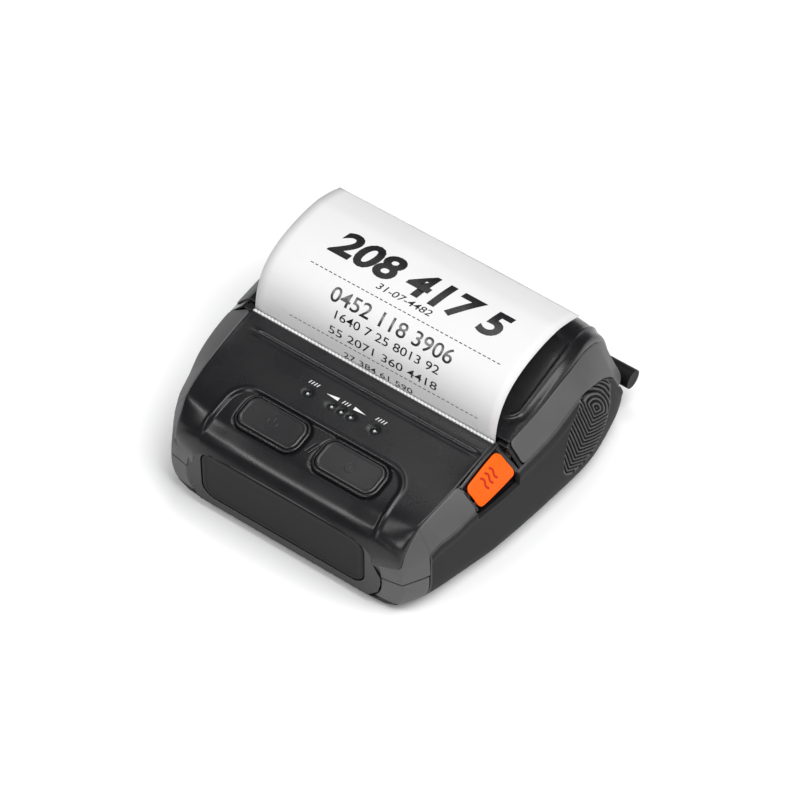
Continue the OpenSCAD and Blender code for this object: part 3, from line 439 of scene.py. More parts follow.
# profile of (radius, height) in mm, spun round an upright axis
def lathe(name, profile, origin, steps):
    form = bmesh.new()
    dots = [form.verts.new((r * mm, 0, h * mm)) for r, h in profile]
    lines = [form.edges.new(pair) for pair in zip(dots, dots[1:])]
    bmesh.ops.spin(form, geom=dots + lines, cent=(0, 0, 0), axis=(0, 0, 1), angle=math.tau,
                   steps=steps, use_merge=True)
    bmesh.ops.remove_doubles(form, verts=form.verts, dist=1e-6)
    bmesh.ops.recalc_face_normals(form, faces=form.faces)
    shadeSmooth(form)
    return putAt(newObject(name, form), Matrix.Translation(Vector(origin) * mm))


# shader node groups shared by the finishes
def startGroup(name, inputs, outputs):
    group = bpy.data.node_groups.new(name, "ShaderNodeTree")
    for label, value in inputs:
        socket = group.interface.new_socket(name=label, in_out="INPUT", socket_type="NodeSocketFloat")
        socket.default_value = value
    for label in outputs:
        group.interface.new_socket(name=label, in_out="OUTPUT", socket_type="NodeSocketFloat")
    return group, group.nodes.new("NodeGroupInput"), group.nodes.new("NodeGroupOutput")


def feed(tree, socket, value):
    if isinstance(value, (int, float)):
        socket.default_value = value
    else:
        tree.links.new(value, socket)


def calc(tree, operation, a, b, clamp=False):
    node = tree.nodes.new("ShaderNodeMath")
    node.operation = operation
    node.use_clamp = clamp
    feed(tree, node.inputs[0], a)
    feed(tree, node.inputs[1], b)
    return node.outputs[0]


def noise(tree, vector, scale, detail=3, rough=0.5):
    node = tree.nodes.new("ShaderNodeTexNoise")
    node.inputs["Detail"].default_value = detail
    node.inputs["Roughness"].default_value = rough
    feed(tree, node.inputs["Scale"], scale)
    tree.links.new(vector, node.inputs["Vector"])
    return node.outputs[0]


def useGroup(tree, shared, values):
    group = tree.nodes.new("ShaderNodeGroup")
    group.node_tree = shared
    for label, value in values.items():
        group.inputs[label].default_value = value
    return group


def attribute(tree, label):
    node = tree.nodes.new("ShaderNodeAttribute")
    node.attribute_name = label
    return node.outputs["Fac"]


# fine moulded grain, broad mottling and a painted highlight along rolled edges, broken up by speckle
grainGroup, grainIn, grainOut = startGroup("mouldedGrain", [("Grain", 2500), ("Mottle", 45), ("HighlightStrength", 0.3)],
                                           ["Height", "Mottle", "EdgeHighlight"])
place = grainGroup.nodes.new("ShaderNodeTexCoord").outputs["Object"]
grainGroup.links.new(noise(grainGroup, place, grainIn.outputs["Grain"], 2, 0.6), grainOut.inputs["Height"])
broad = noise(grainGroup, place, grainIn.outputs["Mottle"], 4, 0.55)
grainGroup.links.new(broad, grainOut.inputs["Mottle"])
# painted edge highlight: the edge attribute times its strength, speckled
edgeHighlightMask = calc(grainGroup, "MULTIPLY", attribute(grainGroup, "edge"), grainIn.outputs["HighlightStrength"])
speck = noise(grainGroup, place, 260, 3, 0.6)
speckledHighlight = calc(grainGroup, "MULTIPLY", edgeHighlightMask, calc(grainGroup, "ADD", speck, 0.5), True)
grainGroup.links.new(speckledHighlight, grainOut.inputs["EdgeHighlight"])

# drawn or brushed lines along X
brushGroup, brushIn, brushOut = startGroup("brushedLines", [("Lines", 900), ("Stretch", 0.03)],
                                           ["Height", "Tone"])
place = brushGroup.nodes.new("ShaderNodeTexCoord").outputs["Object"]
stretch = brushGroup.nodes.new("ShaderNodeVectorMath")
stretch.operation = "MULTIPLY"
brushGroup.links.new(place, stretch.inputs[0])
scaleBy = brushGroup.nodes.new("ShaderNodeCombineXYZ")
brushGroup.links.new(brushIn.outputs["Stretch"], scaleBy.inputs[0])
scaleBy.inputs[1].default_value = 1
scaleBy.inputs[2].default_value = 1
brushGroup.links.new(scaleBy.outputs[0], stretch.inputs[1])
lines = noise(brushGroup, stretch.outputs[0], brushIn.outputs["Lines"], 3, 0.6)
brushGroup.links.new(lines, brushOut.inputs["Height"])
brushGroup.links.new(noise(brushGroup, place, 70, 3, 0.5), brushOut.inputs["Tone"])


def startMaterial(name, values):
    material = bpy.data.materials.new(name)
    material.use_nodes = True
    tree = material.node_tree
    shader = tree.nodes["Principled BSDF"]
    for socket, value in values.items():
        shader.inputs[socket].default_value = value
    return material, tree, shader


def spread(tree, value, low, high, fromLow=0.3, fromHigh=0.7):
    node = tree.nodes.new("ShaderNodeMapRange")
    node.inputs["From Min"].default_value = fromLow
    node.inputs["From Max"].default_value = fromHigh
    node.inputs["To Min"].default_value = low
    node.inputs["To Max"].default_value = high
    tree.links.new(value, node.inputs["Value"])
    return node.outputs["Result"]


def blendColour(tree, factor, a, b):
    node = tree.nodes.new("ShaderNodeMix")
    node.data_type = "RGBA"
    tree.links.new(factor, node.inputs["Factor"])
    for socket, value in ((node.inputs["A"], a), (node.inputs["B"], b)):
        if hasattr(value, "is_linked"):
            tree.links.new(value, socket)
        else:
            socket.default_value = (*value, 1)
    return node.outputs["Result"]


def bump(tree, shader, height, strength, distance):
    node = tree.nodes.new("ShaderNodeBump")
    node.inputs["Strength"].default_value = strength
    node.inputs["Distance"].default_value = distance * mm
    tree.links.new(height, node.inputs["Height"])
    tree.links.new(node.outputs["Normal"], shader.inputs["Normal"])


def mouldedFinish(name, colour, shade, edge, rough, grain=2500, depth=0.25, specular=0.5, coat=0,
                  edgeHighlightStrength=0.3, marks=None):
    material, tree, shader = startMaterial(name, {"Specular IOR Level": specular, "Coat Weight": coat,
                                                  "Coat Roughness": 0.1})
    group = useGroup(tree, grainGroup, {"Grain": grain, "HighlightStrength": edgeHighlightStrength})
    tone = spread(tree, group.outputs["Mottle"], 0, 1)
    base = blendColour(tree, tone, colour, shade)
    # the edge colour is a painted highlight along rolled edges and rib crests
    base = blendColour(tree, group.outputs["EdgeHighlight"], base, edge)
    # the mark colour is print on the release button and painted shade in the grip's grooves
    if marks:
        base = blendColour(tree, spread(tree, attribute(tree, "mark"), 0, 1, 0.4, 0.6), base, marks)
    tree.links.new(base, shader.inputs["Base Color"])
    tree.links.new(spread(tree, group.outputs["Mottle"], rough[0], rough[1]), shader.inputs["Roughness"])
    bump(tree, shader, group.outputs["Height"], depth, 0.04)
    return material


def metalFinish(name, colour, shade, rough, lines=900, stretchBy=0.03):
    material, tree, shader = startMaterial(name, {"Metallic": 1.0})
    group = useGroup(tree, brushGroup, {"Lines": lines, "Stretch": stretchBy})
    base = blendColour(tree, spread(tree, group.outputs["Tone"], 0, 1), colour, shade)
    tree.links.new(base, shader.inputs["Base Color"])
    tree.links.new(spread(tree, group.outputs["Height"], rough[0], rough[1]), shader.inputs["Roughness"])
    bump(tree, shader, group.outputs["Height"], 0.15, 0.02)
    return material


# finish of every material slot; the third colour of a moulded finish is a painted highlight along its rolled
# edges
finish = {
    "case_black": mouldedFinish(
        "caseBlack", (0.009, 0.009, 0.01), (0.013, 0.013, 0.014), (0.035, 0.035, 0.036), (0.42, 0.52),
        specular=0.09),
    "cover_gloss": mouldedFinish(
        "coverSatin", (0.007, 0.007, 0.008), (0.01, 0.01, 0.011), (0.03, 0.03, 0.032), (0.24, 0.32),
        depth=0.45, specular=0.34),
    "trim_grey": mouldedFinish(
        "trimGrey", (0.072, 0.072, 0.074), (0.086, 0.086, 0.088), (0.14, 0.14, 0.145), (0.48, 0.58),
        specular=0.35),
    # grip rubber: painted highlight on the rib crests, painted shade in the grooves
    "grip_rubber": mouldedFinish(
        "gripRubber", (0.02, 0.02, 0.02), (0.026, 0.026, 0.026), (0.14, 0.14, 0.141), (0.58, 0.7),
        grain=1800, depth=0.35, specular=0.12, edgeHighlightStrength=0.75, marks=(0.001, 0.001, 0.001)),
    "button_black": mouldedFinish(
        "buttonSatin", (0.016, 0.016, 0.017), (0.021, 0.021, 0.022), (0.07, 0.07, 0.072), (0.24, 0.32),
        specular=0.45),
    "release_orange": mouldedFinish(
        "releaseOrange", (1.0, 0.112, 0.001), (0.97, 0.095, 0.001), (1.0, 0.16, 0.005), (0.34, 0.42),
        specular=0.14, marks=(0.4, 0.022, 0.001)),
    "bar_white": mouldedFinish(
        "barWhite", (0.62, 0.62, 0.63), (0.7, 0.7, 0.7), (0.75, 0.75, 0.75), (0.35, 0.45)),
    "light_clear": mouldedFinish(
        "lightClear", (0.55, 0.62, 0.58), (0.45, 0.5, 0.47), (0.7, 0.7, 0.7), (0.15, 0.2), coat=0.6),
    "board_green": mouldedFinish(
        "boardGreen", (0.012, 0.1, 0.035), (0.01, 0.13, 0.045), (0.3, 0.25, 0.1), (0.3, 0.4), coat=0.3),
    "part_black": mouldedFinish(
        "partBlack", (0.006, 0.006, 0.007), (0.01, 0.01, 0.011), (0.03, 0.03, 0.03), (0.2, 0.3)),
    "gear_ivory": mouldedFinish(
        "gearIvory", (0.62, 0.57, 0.45), (0.68, 0.63, 0.5), (0.75, 0.7, 0.6), (0.35, 0.45)),
    "head_ceramic": mouldedFinish(
        "headCeramic", (0.7, 0.66, 0.55), (0.75, 0.72, 0.62), (0.8, 0.8, 0.75), (0.15, 0.25)),
    "platen_black": mouldedFinish(
        "platenRubber", (0.012, 0.012, 0.012), (0.02, 0.02, 0.02), (0.04, 0.04, 0.04), (0.5, 0.65),
        specular=0.3),
    "paper_white": mouldedFinish(
        "paperWhite", (0.665, 0.66, 0.665), (0.69, 0.685, 0.69), (0.72, 0.72, 0.72), (0.5, 0.6),
        grain=1200, depth=0.12, specular=0.3, edgeHighlightStrength=0.05),
    "core_card": mouldedFinish(
        "coreCard", (0.33, 0.2, 0.1), (0.4, 0.26, 0.14), (0.45, 0.32, 0.2), (0.75, 0.85), grain=700,
        depth=0.5, specular=0.2),
    "flex_amber": mouldedFinish(
        "flexAmber", (0.5, 0.18, 0.03), (0.4, 0.14, 0.02), (0.6, 0.3, 0.1), (0.25, 0.35), coat=0.3),
    "battery_black": mouldedFinish(
        "batteryBlack", (0.01, 0.01, 0.011), (0.014, 0.014, 0.015), (0.035, 0.035, 0.036), (0.36, 0.46),
        specular=0.08),
    "steel_plate": metalFinish("steelPlate", (0.42, 0.42, 0.44), (0.5, 0.5, 0.52), (0.3, 0.45)),
    "steel_turned": metalFinish(
        "steelTurned", (0.5, 0.5, 0.52), (0.58, 0.58, 0.6), (0.18, 0.3), lines=1600, stretchBy=1),
    "spring_steel": metalFinish(
        "springSteel", (0.4, 0.4, 0.42), (0.46, 0.46, 0.48), (0.25, 0.35), lines=600, stretchBy=1),
    "screw_steel": metalFinish(
        "screwSteel", (0.2, 0.2, 0.22), (0.28, 0.28, 0.3), (0.3, 0.4), lines=700, stretchBy=1),
    "sink_aluminium": metalFinish("sinkAluminium", (0.55, 0.55, 0.57), (0.62, 0.62, 0.64), (0.3, 0.42)),
    "brass": metalFinish(
        "brassGear", (0.55, 0.36, 0.12), (0.62, 0.42, 0.16), (0.25, 0.35), lines=600, stretchBy=1),
}
# smoked clear window
smoked, tree, shader = startMaterial("windowSmoke", {"Transmission Weight": 0.25, "IOR": 1.49,
                                                     "Specular IOR Level": 0.6})
group = useGroup(tree, grainGroup, {"Grain": 900})
tone = spread(tree, group.outputs["Mottle"], 0, 1)
tree.links.new(blendColour(tree, tone, (0.12, 0.12, 0.12), (0.15, 0.15, 0.15)), shader.inputs["Base Color"])
tree.links.new(spread(tree, group.outputs["Mottle"], 0.08, 0.14), shader.inputs["Roughness"])
bump(tree, shader, group.outputs["Height"], 0.05, 0.01)
finish["window_smoke"] = smoked
print("finishes made:", len(finish))

# every CAD node takes the finish of its slot
slotOfNode = {row["node"]: row["material_slot"] for row in frame["record"]["subparts"]}
for name, node in frame["nodes"].items():
    node.data.materials.clear()
    node.data.materials.append(finish[slotOfNode[name]])


# a piece rides the body of its node; it replaces the node, or is added to it where it has its own slot
def dress(piece, node, ownSlot=None):
    slotName = ownSlot or slotOfNode[node]
    piece.data.materials.clear()
    piece.data.materials.append(finish[slotName])
    if not ownSlot:
        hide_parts(node)
    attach(piece, frame["nodes"][node]["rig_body"])


# a skin on one side of the printer: spot gives the right side, and the left one is mirrored
def sideSkin(name, side, spot, rows, columns, roll, relief=None, mark=None, thick=2.0):
    return skin(name, spot, rows, columns, roll, relief, mark, thick,
                lambda p: Vector((p.x, 0, p.z - 24)), side < 0)


# front cover: crowned top with the key pad, its step and the groove along the slot
cover = {"backY": -14.5, "step": 0.9, "bead": 0.45, "padRear": -43.2, "padHalf": 39.2, "padCorner": 9,
         "padMiddleUp": 0.3, "keyMoat": 0.75, "lightMoat": 0.3,
         "grooveY": -21.4, "grooveLeft": -49, "grooveRight": 54, "grooveDeep": 0.65, "grooveLip": 0.12}
lights = {"y": -33.3, "x": (-15.6, -4.4, 0, 4.4, 15.6), "hole": 1.15}
keys = {"x": 18.1, "y": -51.9, "width": 27, "length": 13.4, "corner": 4.2, "gap": 0.35, "proud": 0.8}
release = {"front": -35.3, "back": -15.3, "innerX": 58.6, "corner": 2.4}
releaseMiddle = (release["front"] + release["back"]) / 2
frontY = stationY(-1)


def padInside(x, y):
    half = cover["padHalf"] + 0.9 * ease(-50, -70, y)
    r = cover["padCorner"]
    q = abs(x) - (half - r)
    p = y - (cover["padRear"] - r)
    if q > 0 and p > 0:
        return r - math.hypot(q, p)
    return min(half - abs(x), cover["padRear"] - y)


def coverRelief(p, v, edgeHighlightLayer):
    share = abs(p.x) / rimX(stationOf(max(p.y, frontY)))
    if share > 0.99:
        # painted highlight along the rim of the crown
        v[edgeHighlightLayer] = max(v[edgeHighlightLayer], 0.8)
        return 0
    d = padInside(p.x, p.y)
    fade = ease(frontY + 0.8, frontY + 9, p.y)
    lift = fade * cover["bead"] * math.exp(-((d + 0.95) / 0.75) ** 2)
    lift -= fade * cover["step"] * ease(-0.3, 0.8, d)
    lift += fade * cover["padMiddleUp"] * ease(4, 14, d)
    ends = ease(cover["grooveLeft"] - 2, cover["grooveLeft"] + 3, p.x)
    ends *= ease(cover["grooveRight"] + 2, cover["grooveRight"] - 3, p.x)
    g = p.y - cover["grooveY"]
    lift -= ends * cover["grooveDeep"] * math.exp(-(g / 0.7) ** 2)
    lift += ends * cover["grooveLip"] * math.exp(-((abs(g) - 1.7) / 0.7) ** 2)
    r = keys["corner"]
    across = max(abs(abs(p.x) - keys["x"]) - keys["width"] / 2 + r, 0)
    along = max(abs(p.y - keys["y"]) - keys["length"] / 2 + r, 0)
    lift -= cover["keyMoat"] * ease(2.3, 1.3, math.hypot(across, along) - r)
    for x in lights["x"]:
        reach = math.hypot(p.x - x, p.y - lights["y"])
        if reach < 2.6:
            lift -= cover["lightMoat"] * ease(2.4, 1.2, reach)
    return lift


def shellSpot(y, b):
    s = stationOf(y)
    q = abs(b)
    side = 1 if b >= 0 else -1
    if q <= 1:
        x = rimX(s) * q
        p = Vector((x, y, topZ(s, x) - rolled((1 - q) * rimX(s), 0.6)))
    else:
        rim, deepRim, deepEdge = rimPoint(s), rimPoint(s, 2.1), edgePoint(s, 2.1)
        rim.z -= 0.65
        rim.x -= 0.03
        low = sidePoint(s, trimLow(s) + 0.1, 2.1)
        deepRim = Vector((rim.x - 1.0, y, rim.z - 1.5))
        deepEdge.z = max(min(deepEdge.z - 1.0, deepRim.z - 0.3), low.z)
        p = alongPath([rim, deepRim, deepEdge, low], (q - 1) / 0.3)
    return Vector((p.x * side, y, p.z))


# columns from the middle to the rim at 1 and down the flange to 1.3, close where the crown turns down
def crownColumns(step, fine=()):
    half = [c for c in evenLines(step, fine) if c < 0.93]
    half += [0.93, 0.945, 0.958, 0.969, 0.978, 0.985, 0.99, 0.9925, 0.995, 0.997, 0.9985, 0.9995, 1]
    half += [1.02, 1.05, 1.1, 1.15, 1.2, 1.25, 1.3]
    return [-c for c in reversed(half[1:])] + half


rows = gridLines(frontY, cover["backY"], 1.3,
                 [(frontY, -60, 0.45), (-55, -40.5, 0.32), (-35.8, -31, 0.35), (-24.2, -18.6, 0.2)])
columns = crownColumns(0.025, [(0.5, 0.8, 0.0065), (0, 0.045, 0.008), (0.055, 0.11, 0.008),
                               (0.25, 0.32, 0.008)])
coverTop = skin("frontCover", shellSpot, rows, columns, (0, 0.45, 0, 0), coverRelief, thick=1.6)
bake(coverTop)

# front frame of the cover round the battery panel
frontFrame = {"thick": 1.6, "low": 4.6, "archHalf": 42, "half": 45.6, "panelWidth": 76, "panelHigh": 25,
              "panelCorner": 6, "panelAt": (0, -69, 21.9), "gap": 0.4}
form = bmesh.new()
archShares = [0, 0.2, 0.4, 0.55, 0.68, 0.78, 0.86, 0.92, 0.96, 0.985, 1]
arch = [(frontFrame["archHalf"] * c, topZ(-1, frontFrame["archHalf"] * c)) for c in archShares]
right = arch + [(frontFrame["half"], body["cornerSeamZ"]), (frontFrame["half"], body["widestZ"]), (44.4, 10),
                (39.5, frontFrame["low"])]
outline = right + [(-x, z) for x, z in reversed(right) if x > 0]
pullOut(form, [facet(form, [(x, frontY, z) for x, z in outline])], 0, frontFrame["thick"], 0)
bmesh.ops.recalc_face_normals(form, faces=form.faces)
frontWall = newObject("frontWall", form)
panelPlace = shift(*frontFrame["panelAt"]) @ Matrix.Rotation(math.radians(90), 4, "X")


# a plate of the battery panel's outline, wider than it by margin all round
def panelPlate(name, margin, height, soft=0.01, dish=None):
    plate = roundedPlate(name, frontFrame["panelWidth"] + 2 * margin, frontFrame["panelHigh"] + 2 * margin,
                         frontFrame["panelCorner"] + margin, height, soft, dish)
    return putAt(plate, panelPlace)


cut(frontWall, putAt(panelPlate("panelTool", frontFrame["gap"], 9), shift(0, 4, 0)))
softEdges(frontWall, 0.35, 35)

padSlope = math.atan((topAt(0, keys["y"] + 6) - topAt(0, keys["y"] - 6)) / 12)


# a rounded plate at a key, wider than it by margin all round, its foot below the pad
def keyPlate(name, x, margin, height, foot, soft=0.01, dish=None):
    plate = roundedPlate(name, keys["width"] + 2 * margin, keys["length"] + 2 * margin,
                         keys["corner"] + margin, height, soft, dish)
    return putAt(plate, atKey(x) @ shift(0, 0, foot))


def atKey(x):
    return shift(x, keys["y"], topAt(0, keys["y"])) @ Matrix.Rotation(padSlope, 4, "X")


for x in (-keys["x"], keys["x"]):
    cut(coverTop, keyPlate("keyTool", x, keys["gap"] + 0.5, 12, -6))
lightSpots = [(x, lights["y"], topAt(x, lights["y"])) for x in lights["x"]]
for spot in lightSpots:
    form = bmesh.new()
    bmesh.ops.create_cone(form, cap_ends=True, segments=20, radius1=lights["hole"] * mm,
                          radius2=lights["hole"] * mm, depth=8 * mm)
    cut(coverTop, putAt(newObject("lightTool", form), shift(*spot)))
# opening for the release button and its pocket
cut(coverTop, box("releaseTool", (24, 22.5, 60), (69.3, releaseMiddle, 30)))
dress(joined("frontCover", [coverTop, frontWall]), "front_cover")

# lipped ring round each key
for name, x in (("powerKeyRing", -keys["x"]), ("feedKeyRing", keys["x"])):
    ring = keyPlate(name, x, keys["gap"] + 1, 2.9, -2.45, 0.5)
    cut(ring, keyPlate("ringTool", x, keys["gap"], 9, -5))
    softEdges(ring, 0.2, 40)
    dress(ring, "front_cover", "part_black")

# dark well and small lens of each light
wellProfile = [(1.75, -0.28), (1.5, -0.12), (1.15, -0.3), (0.95, -0.9), (0.95, -1.8), (1.4, -1.8),
               (1.75, -0.9), (1.75, -0.28)]
lensProfile = [(0, -0.62), (0.25, -0.65), (0.45, -0.75), (0.6, -0.95), (0.6, -1.4), (0.9, -1.6), (0.9, -5),
               (0, -5)]
for spot in lightSpots:
    dress(lathe("lightWell", wellProfile, spot, 24), "front_cover", "part_black")
dress(joined("lightPipes", [lathe("lens", lensProfile, spot, 20) for spot in lightSpots]), "light_pipes")

# printed marks by the lights: two tapered wedges and rows of slanted ticks
form = bmesh.new()


def printedPatch(corners):
    facet(form, [(x, y, topAt(x, y) + 0.03) for x, y in corners])


wedge = {"tip": (9.2, -30), "low": (3.6, -30.5), "high": (3.6, -29)}
tick = {"groups": ((-15.6, -28.9, 4), (0, -29.7, 3), (15.6, -28.9, 4)), "pitch": 1.25, "half": 0.75}
for side in (-1, 1):
    printedPatch([(side * x, y) for x, y in (wedge["tip"], wedge["low"], wedge["high"])])
for middle, y, count in tick["groups"]:
    low, high = y - tick["half"], y + tick["half"]
    for k in range(count):
        x = middle + (k - (count - 1) / 2) * tick["pitch"]
        printedPatch([(x - 0.55, low), (x - 0.15, low), (x + 0.45, high), (x + 0.05, high)])
bmesh.ops.recalc_face_normals(form, faces=form.faces)
for f in form.faces:
    if f.normal.z < 0:
        f.normal_flip()
dress(newObject("padPrint", form), "front_cover", "bar_white")

# slanted divider between the keys
divider = {"x": 0.7, "apart": 0.8, "y": -52.4, "half": 2.6, "slant": 0.9}
for label, side in (("A", -1), ("B", 1)):
    stroke = []
    for t in (-1, -0.5, 0, 0.5, 1):
        x = divider["x"] + side * divider["apart"] + divider["slant"] * t
        y = divider["y"] + divider["half"] * t
        stroke.append((x, y, topAt(divider["x"], y) - 0.38))
    dress(tube("keyDivider" + label, stroke, 0.32), "front_cover", "button_black")

# pocket under the release button and the glossy frame round it
pocket = {"front": -36.5, "back": -14.1, "x": (57.4, 58.3, 61.6, 62.3, 63.7), "floor": 38.82, "roof": 44.68,
          "deck": 35.5, "wall": 0.9}
xa, xb, xc, xd, xe = pocket["x"]
floorZ, deckZ, roofZ, wallThick = pocket["floor"], pocket["deck"], pocket["roof"], pocket["wall"]
form = bmesh.new()
profile = [(xa, roofZ), (xa, floorZ), (xc, floorZ), (xd, deckZ - wallThick), (xe, deckZ - wallThick),
           (xe, deckZ), (xd + 0.6, deckZ), (xc + 0.6, floorZ + wallThick), (xb, floorZ + wallThick),
           (xb, roofZ)]
endWall = [(xb, floorZ), (xc, floorZ), (xd, deckZ), (xe, deckZ), (xe, 38.1), (60.5, 44.0), (xb, 44.6)]
for outline, y, deep in ((profile, pocket["front"], pocket["back"] - pocket["front"]),
                         (endWall, pocket["front"], wallThick),
                         (endWall, pocket["back"] - wallThick, wallThick)):
    pullOut(form, [facet(form, [(x, y, z) for x, z in outline])], 0, deep, 0)
bmesh.ops.recalc_face_normals(form, faces=form.faces)
dress(newObject("releasePocket", form), "front_cover", "part_black")

# pale toothed bar along the slot
bar = {"front": -14.3, "thick": 1.0, "low": 44.2, "high": 50.25, "half": 56, "teeth": 70, "deep": 0.45}
form = bmesh.new()
tooth = 2 * bar["half"] / bar["teeth"]
valley = bar["high"] - bar["deep"]
edgeLine = []
for k in range(bar["teeth"]):
    x = -bar["half"] + k * tooth
    edgeLine += [(x, valley), (x + tooth / 2, bar["high"])]
edgeLine.append((bar["half"], valley))
for (xa, za), (xb, zb) in zip(edgeLine, edgeLine[1:]):
    facet(form, [(x, bar["front"], z) for x, z in ((xa, bar["low"]), (xb, bar["low"]), (xb, zb), (xa, za))])
bmesh.ops.remove_doubles(form, verts=form.verts, dist=1e-6)
pullOut(form, form.faces[:], 0, bar["thick"], 0)
bmesh.ops.recalc_face_normals(form, faces=form.faces)
dress(newObject("tearBar", form), "tear_bar")

# keys with a bevelled rim, an embossed mark and three dots
keyMark = {"ring": 2.1, "drop": 1.75, "tip": 2.7, "stroke": 0.26, "dotX": 10.8, "dot": 0.52, "dish": 0.22}
floorUp = keys["proud"] - keyMark["dish"]


def arcPoints(radius, angles):
    return [(radius * math.cos(math.radians(a)), radius * math.sin(math.radians(a)), floorUp) for a in angles]


def powerMark():
    ring = arcPoints(keyMark["ring"], range(125, 415, 10))
    return [tube("ringMark", ring, keyMark["stroke"]),
            tube("barMark", [(0, 0.6, floorUp), (0, keyMark["tip"], floorUp)], keyMark["stroke"])]


def feedMark():
    drop = [(x, y - 0.6, z) for x, y, z in arcPoints(keyMark["drop"], range(-210, 31, 12))]
    return [tube("dropMark", drop + [(0, keyMark["tip"], floorUp)], keyMark["stroke"], closed=True),
            tube("dropBar", [(0, -1.5, floorUp), (0, 0.7, floorUp)], 0.22)]


for name, node, side, drawMark in (("powerKey", "power_button", -1, powerMark),
                                   ("feedKey", "feed_button", 1, feedMark)):
    x = side * keys["x"]
    key = keyPlate(name, x, 0, 3.5, keys["proud"] - 3.5, 0.7, (0.4, 0.5, keyMark["dish"]))
    marks = drawMark()
    for k in (-1, 0, 1):
        form = bmesh.new()
        bmesh.ops.create_uvsphere(form, u_segments=14, v_segments=8, radius=keyMark["dot"] * mm)
        bmesh.ops.scale(form, vec=(1, 1, 0.7), verts=form.verts)
        shadeSmooth(form)
        dotPlace = shift(side * keyMark["dotX"] + k * 0.9, k * 2.1, floorUp)
        marks.append(putAt(newObject("keyDot", form), dotPlace))
    for mark in marks:
        putAt(mark, atKey(x))
    dress(joined(name, [key] + marks), node)
print("front cover and keys made")

# lid: hump over the roll, window frame, raised ridge inside the cheeks
lid = {"frontY": -10.5, "backY": 66.7, "ridgeIn": 4.6, "ridgeBack": 8.5, "ridgeCorner": 6, "ridgeHigh": 0.45,
       "valleyDeep": 0.3, "windowHalf": 46, "windowFront": 11.5, "windowBack": 45.5, "windowCorner": 8}


def lidRelief(p, v, edgeHighlightLayer):
    rim = rimX(stationOf(p.y))
    if abs(p.x) / rim > 0.99:
        return 0
    r = lid["ridgeCorner"]
    fromSide = rim - lid["ridgeIn"] - abs(p.x)
    fromFront = p.y - lid["frontY"] - lid["ridgeBack"]
    d = min(fromSide, fromFront)
    if max(fromSide, fromFront) < r:
        d = r - math.hypot(r - fromSide, r - fromFront)
    strength = ease(46, 51, abs(p.x)) * ease(64, 56, p.y)
    crest = lid["ridgeHigh"] * math.exp(-(d / 0.5) ** 2)
    return strength * (crest - lid["valleyDeep"] * ease(-0.3, -1.2, d) * ease(-4, -2.5, d))


rows = gridLines(lid["frontY"], lid["backY"], 1.6, [(lid["frontY"] + 6, lid["frontY"] + 16, 0.4)])
columns = crownColumns(0.03, [(0.78, 0.955, 0.0055)])
lidShell = skin("lidFrame", shellSpot, rows, columns, (0.5, 0.3, 0, 0), lidRelief, thick=1.6)
bake(lidShell)


# an upright block of the window's outline, smaller by gap all round
def windowTool(gap):
    front, back = lid["windowFront"] + gap, lid["windowBack"] - gap
    tool = roundedPlate("windowTool", 2 * (lid["windowHalf"] - gap), back - front,
                        lid["windowCorner"] - gap, 60)
    return putAt(tool, shift(0, (front + back) / 2, 30))


cut(lidShell, windowTool(0))
softEdges(lidShell, 0.3, 45)
dress(lidShell, "lid_frame")


def windowSpot(y, b):
    p = shellSpot(y, b)
    return Vector((p.x, p.y, p.z - 0.5))


paneRows = gridLines(lid["windowFront"] - 0.5, lid["windowBack"] + 0.5, 1.6)
paneColumns = [c * 0.02 for c in range(-40, 41)]
window = bake(skin("lidWindow", windowSpot, paneRows, paneColumns, (0, 0, 0, 0), thick=1.4))
cut(window, windowTool(0.15), "INTERSECT")
softEdges(window, 0.3, 45)
dress(window, "lid_window")
print("lid and window made")


# low seam, edge and rim of the band between the grip and the black cover
def bandPoints(s):
    edge = edgePoint(s)
    low = sidePoint(s, trimLow(s))
    if low.z > edge.z - 0.05:
        low = Vector((edge.x, edge.y, edge.z - 0.05))
    return low, edge, rimPoint(s)


# share of the way over the band, squeezed by inset mm at both sides
def pinched(t, inset, low, edge, high):
    width = (edge - low).length + (high - edge).length
    return inset / width + t * (1 - 2 * inset / width)


# grey trims and cheeks, a little crowned
def bandSpot(y, t, pinch=None):
    low, edge, rim = bandPoints(stationOf(y))
    if pinch:
        t = pinched(t, pinch(y), low, edge, rim)
    p = alongPath([low, edge, rim], t)
    across = (rim - edge).normalized()
    share = min(max((p - edge).dot(across) / max((rim - edge).length, 1e-6), 0), 1)
    return p + Vector((across.z, 0, -across.x)) * 0.35 * 4 * share * (1 - share)


def roundedEnds(start, stop, radius, ends=(True, True)):
    def pinch(y):
        total = 0
        if ends[0] and y - start < radius:
            total = rolled(y - start, radius)
        if ends[1] and stop - y < radius:
            total = max(total, rolled(stop - y, radius))
        return total
    return pinch


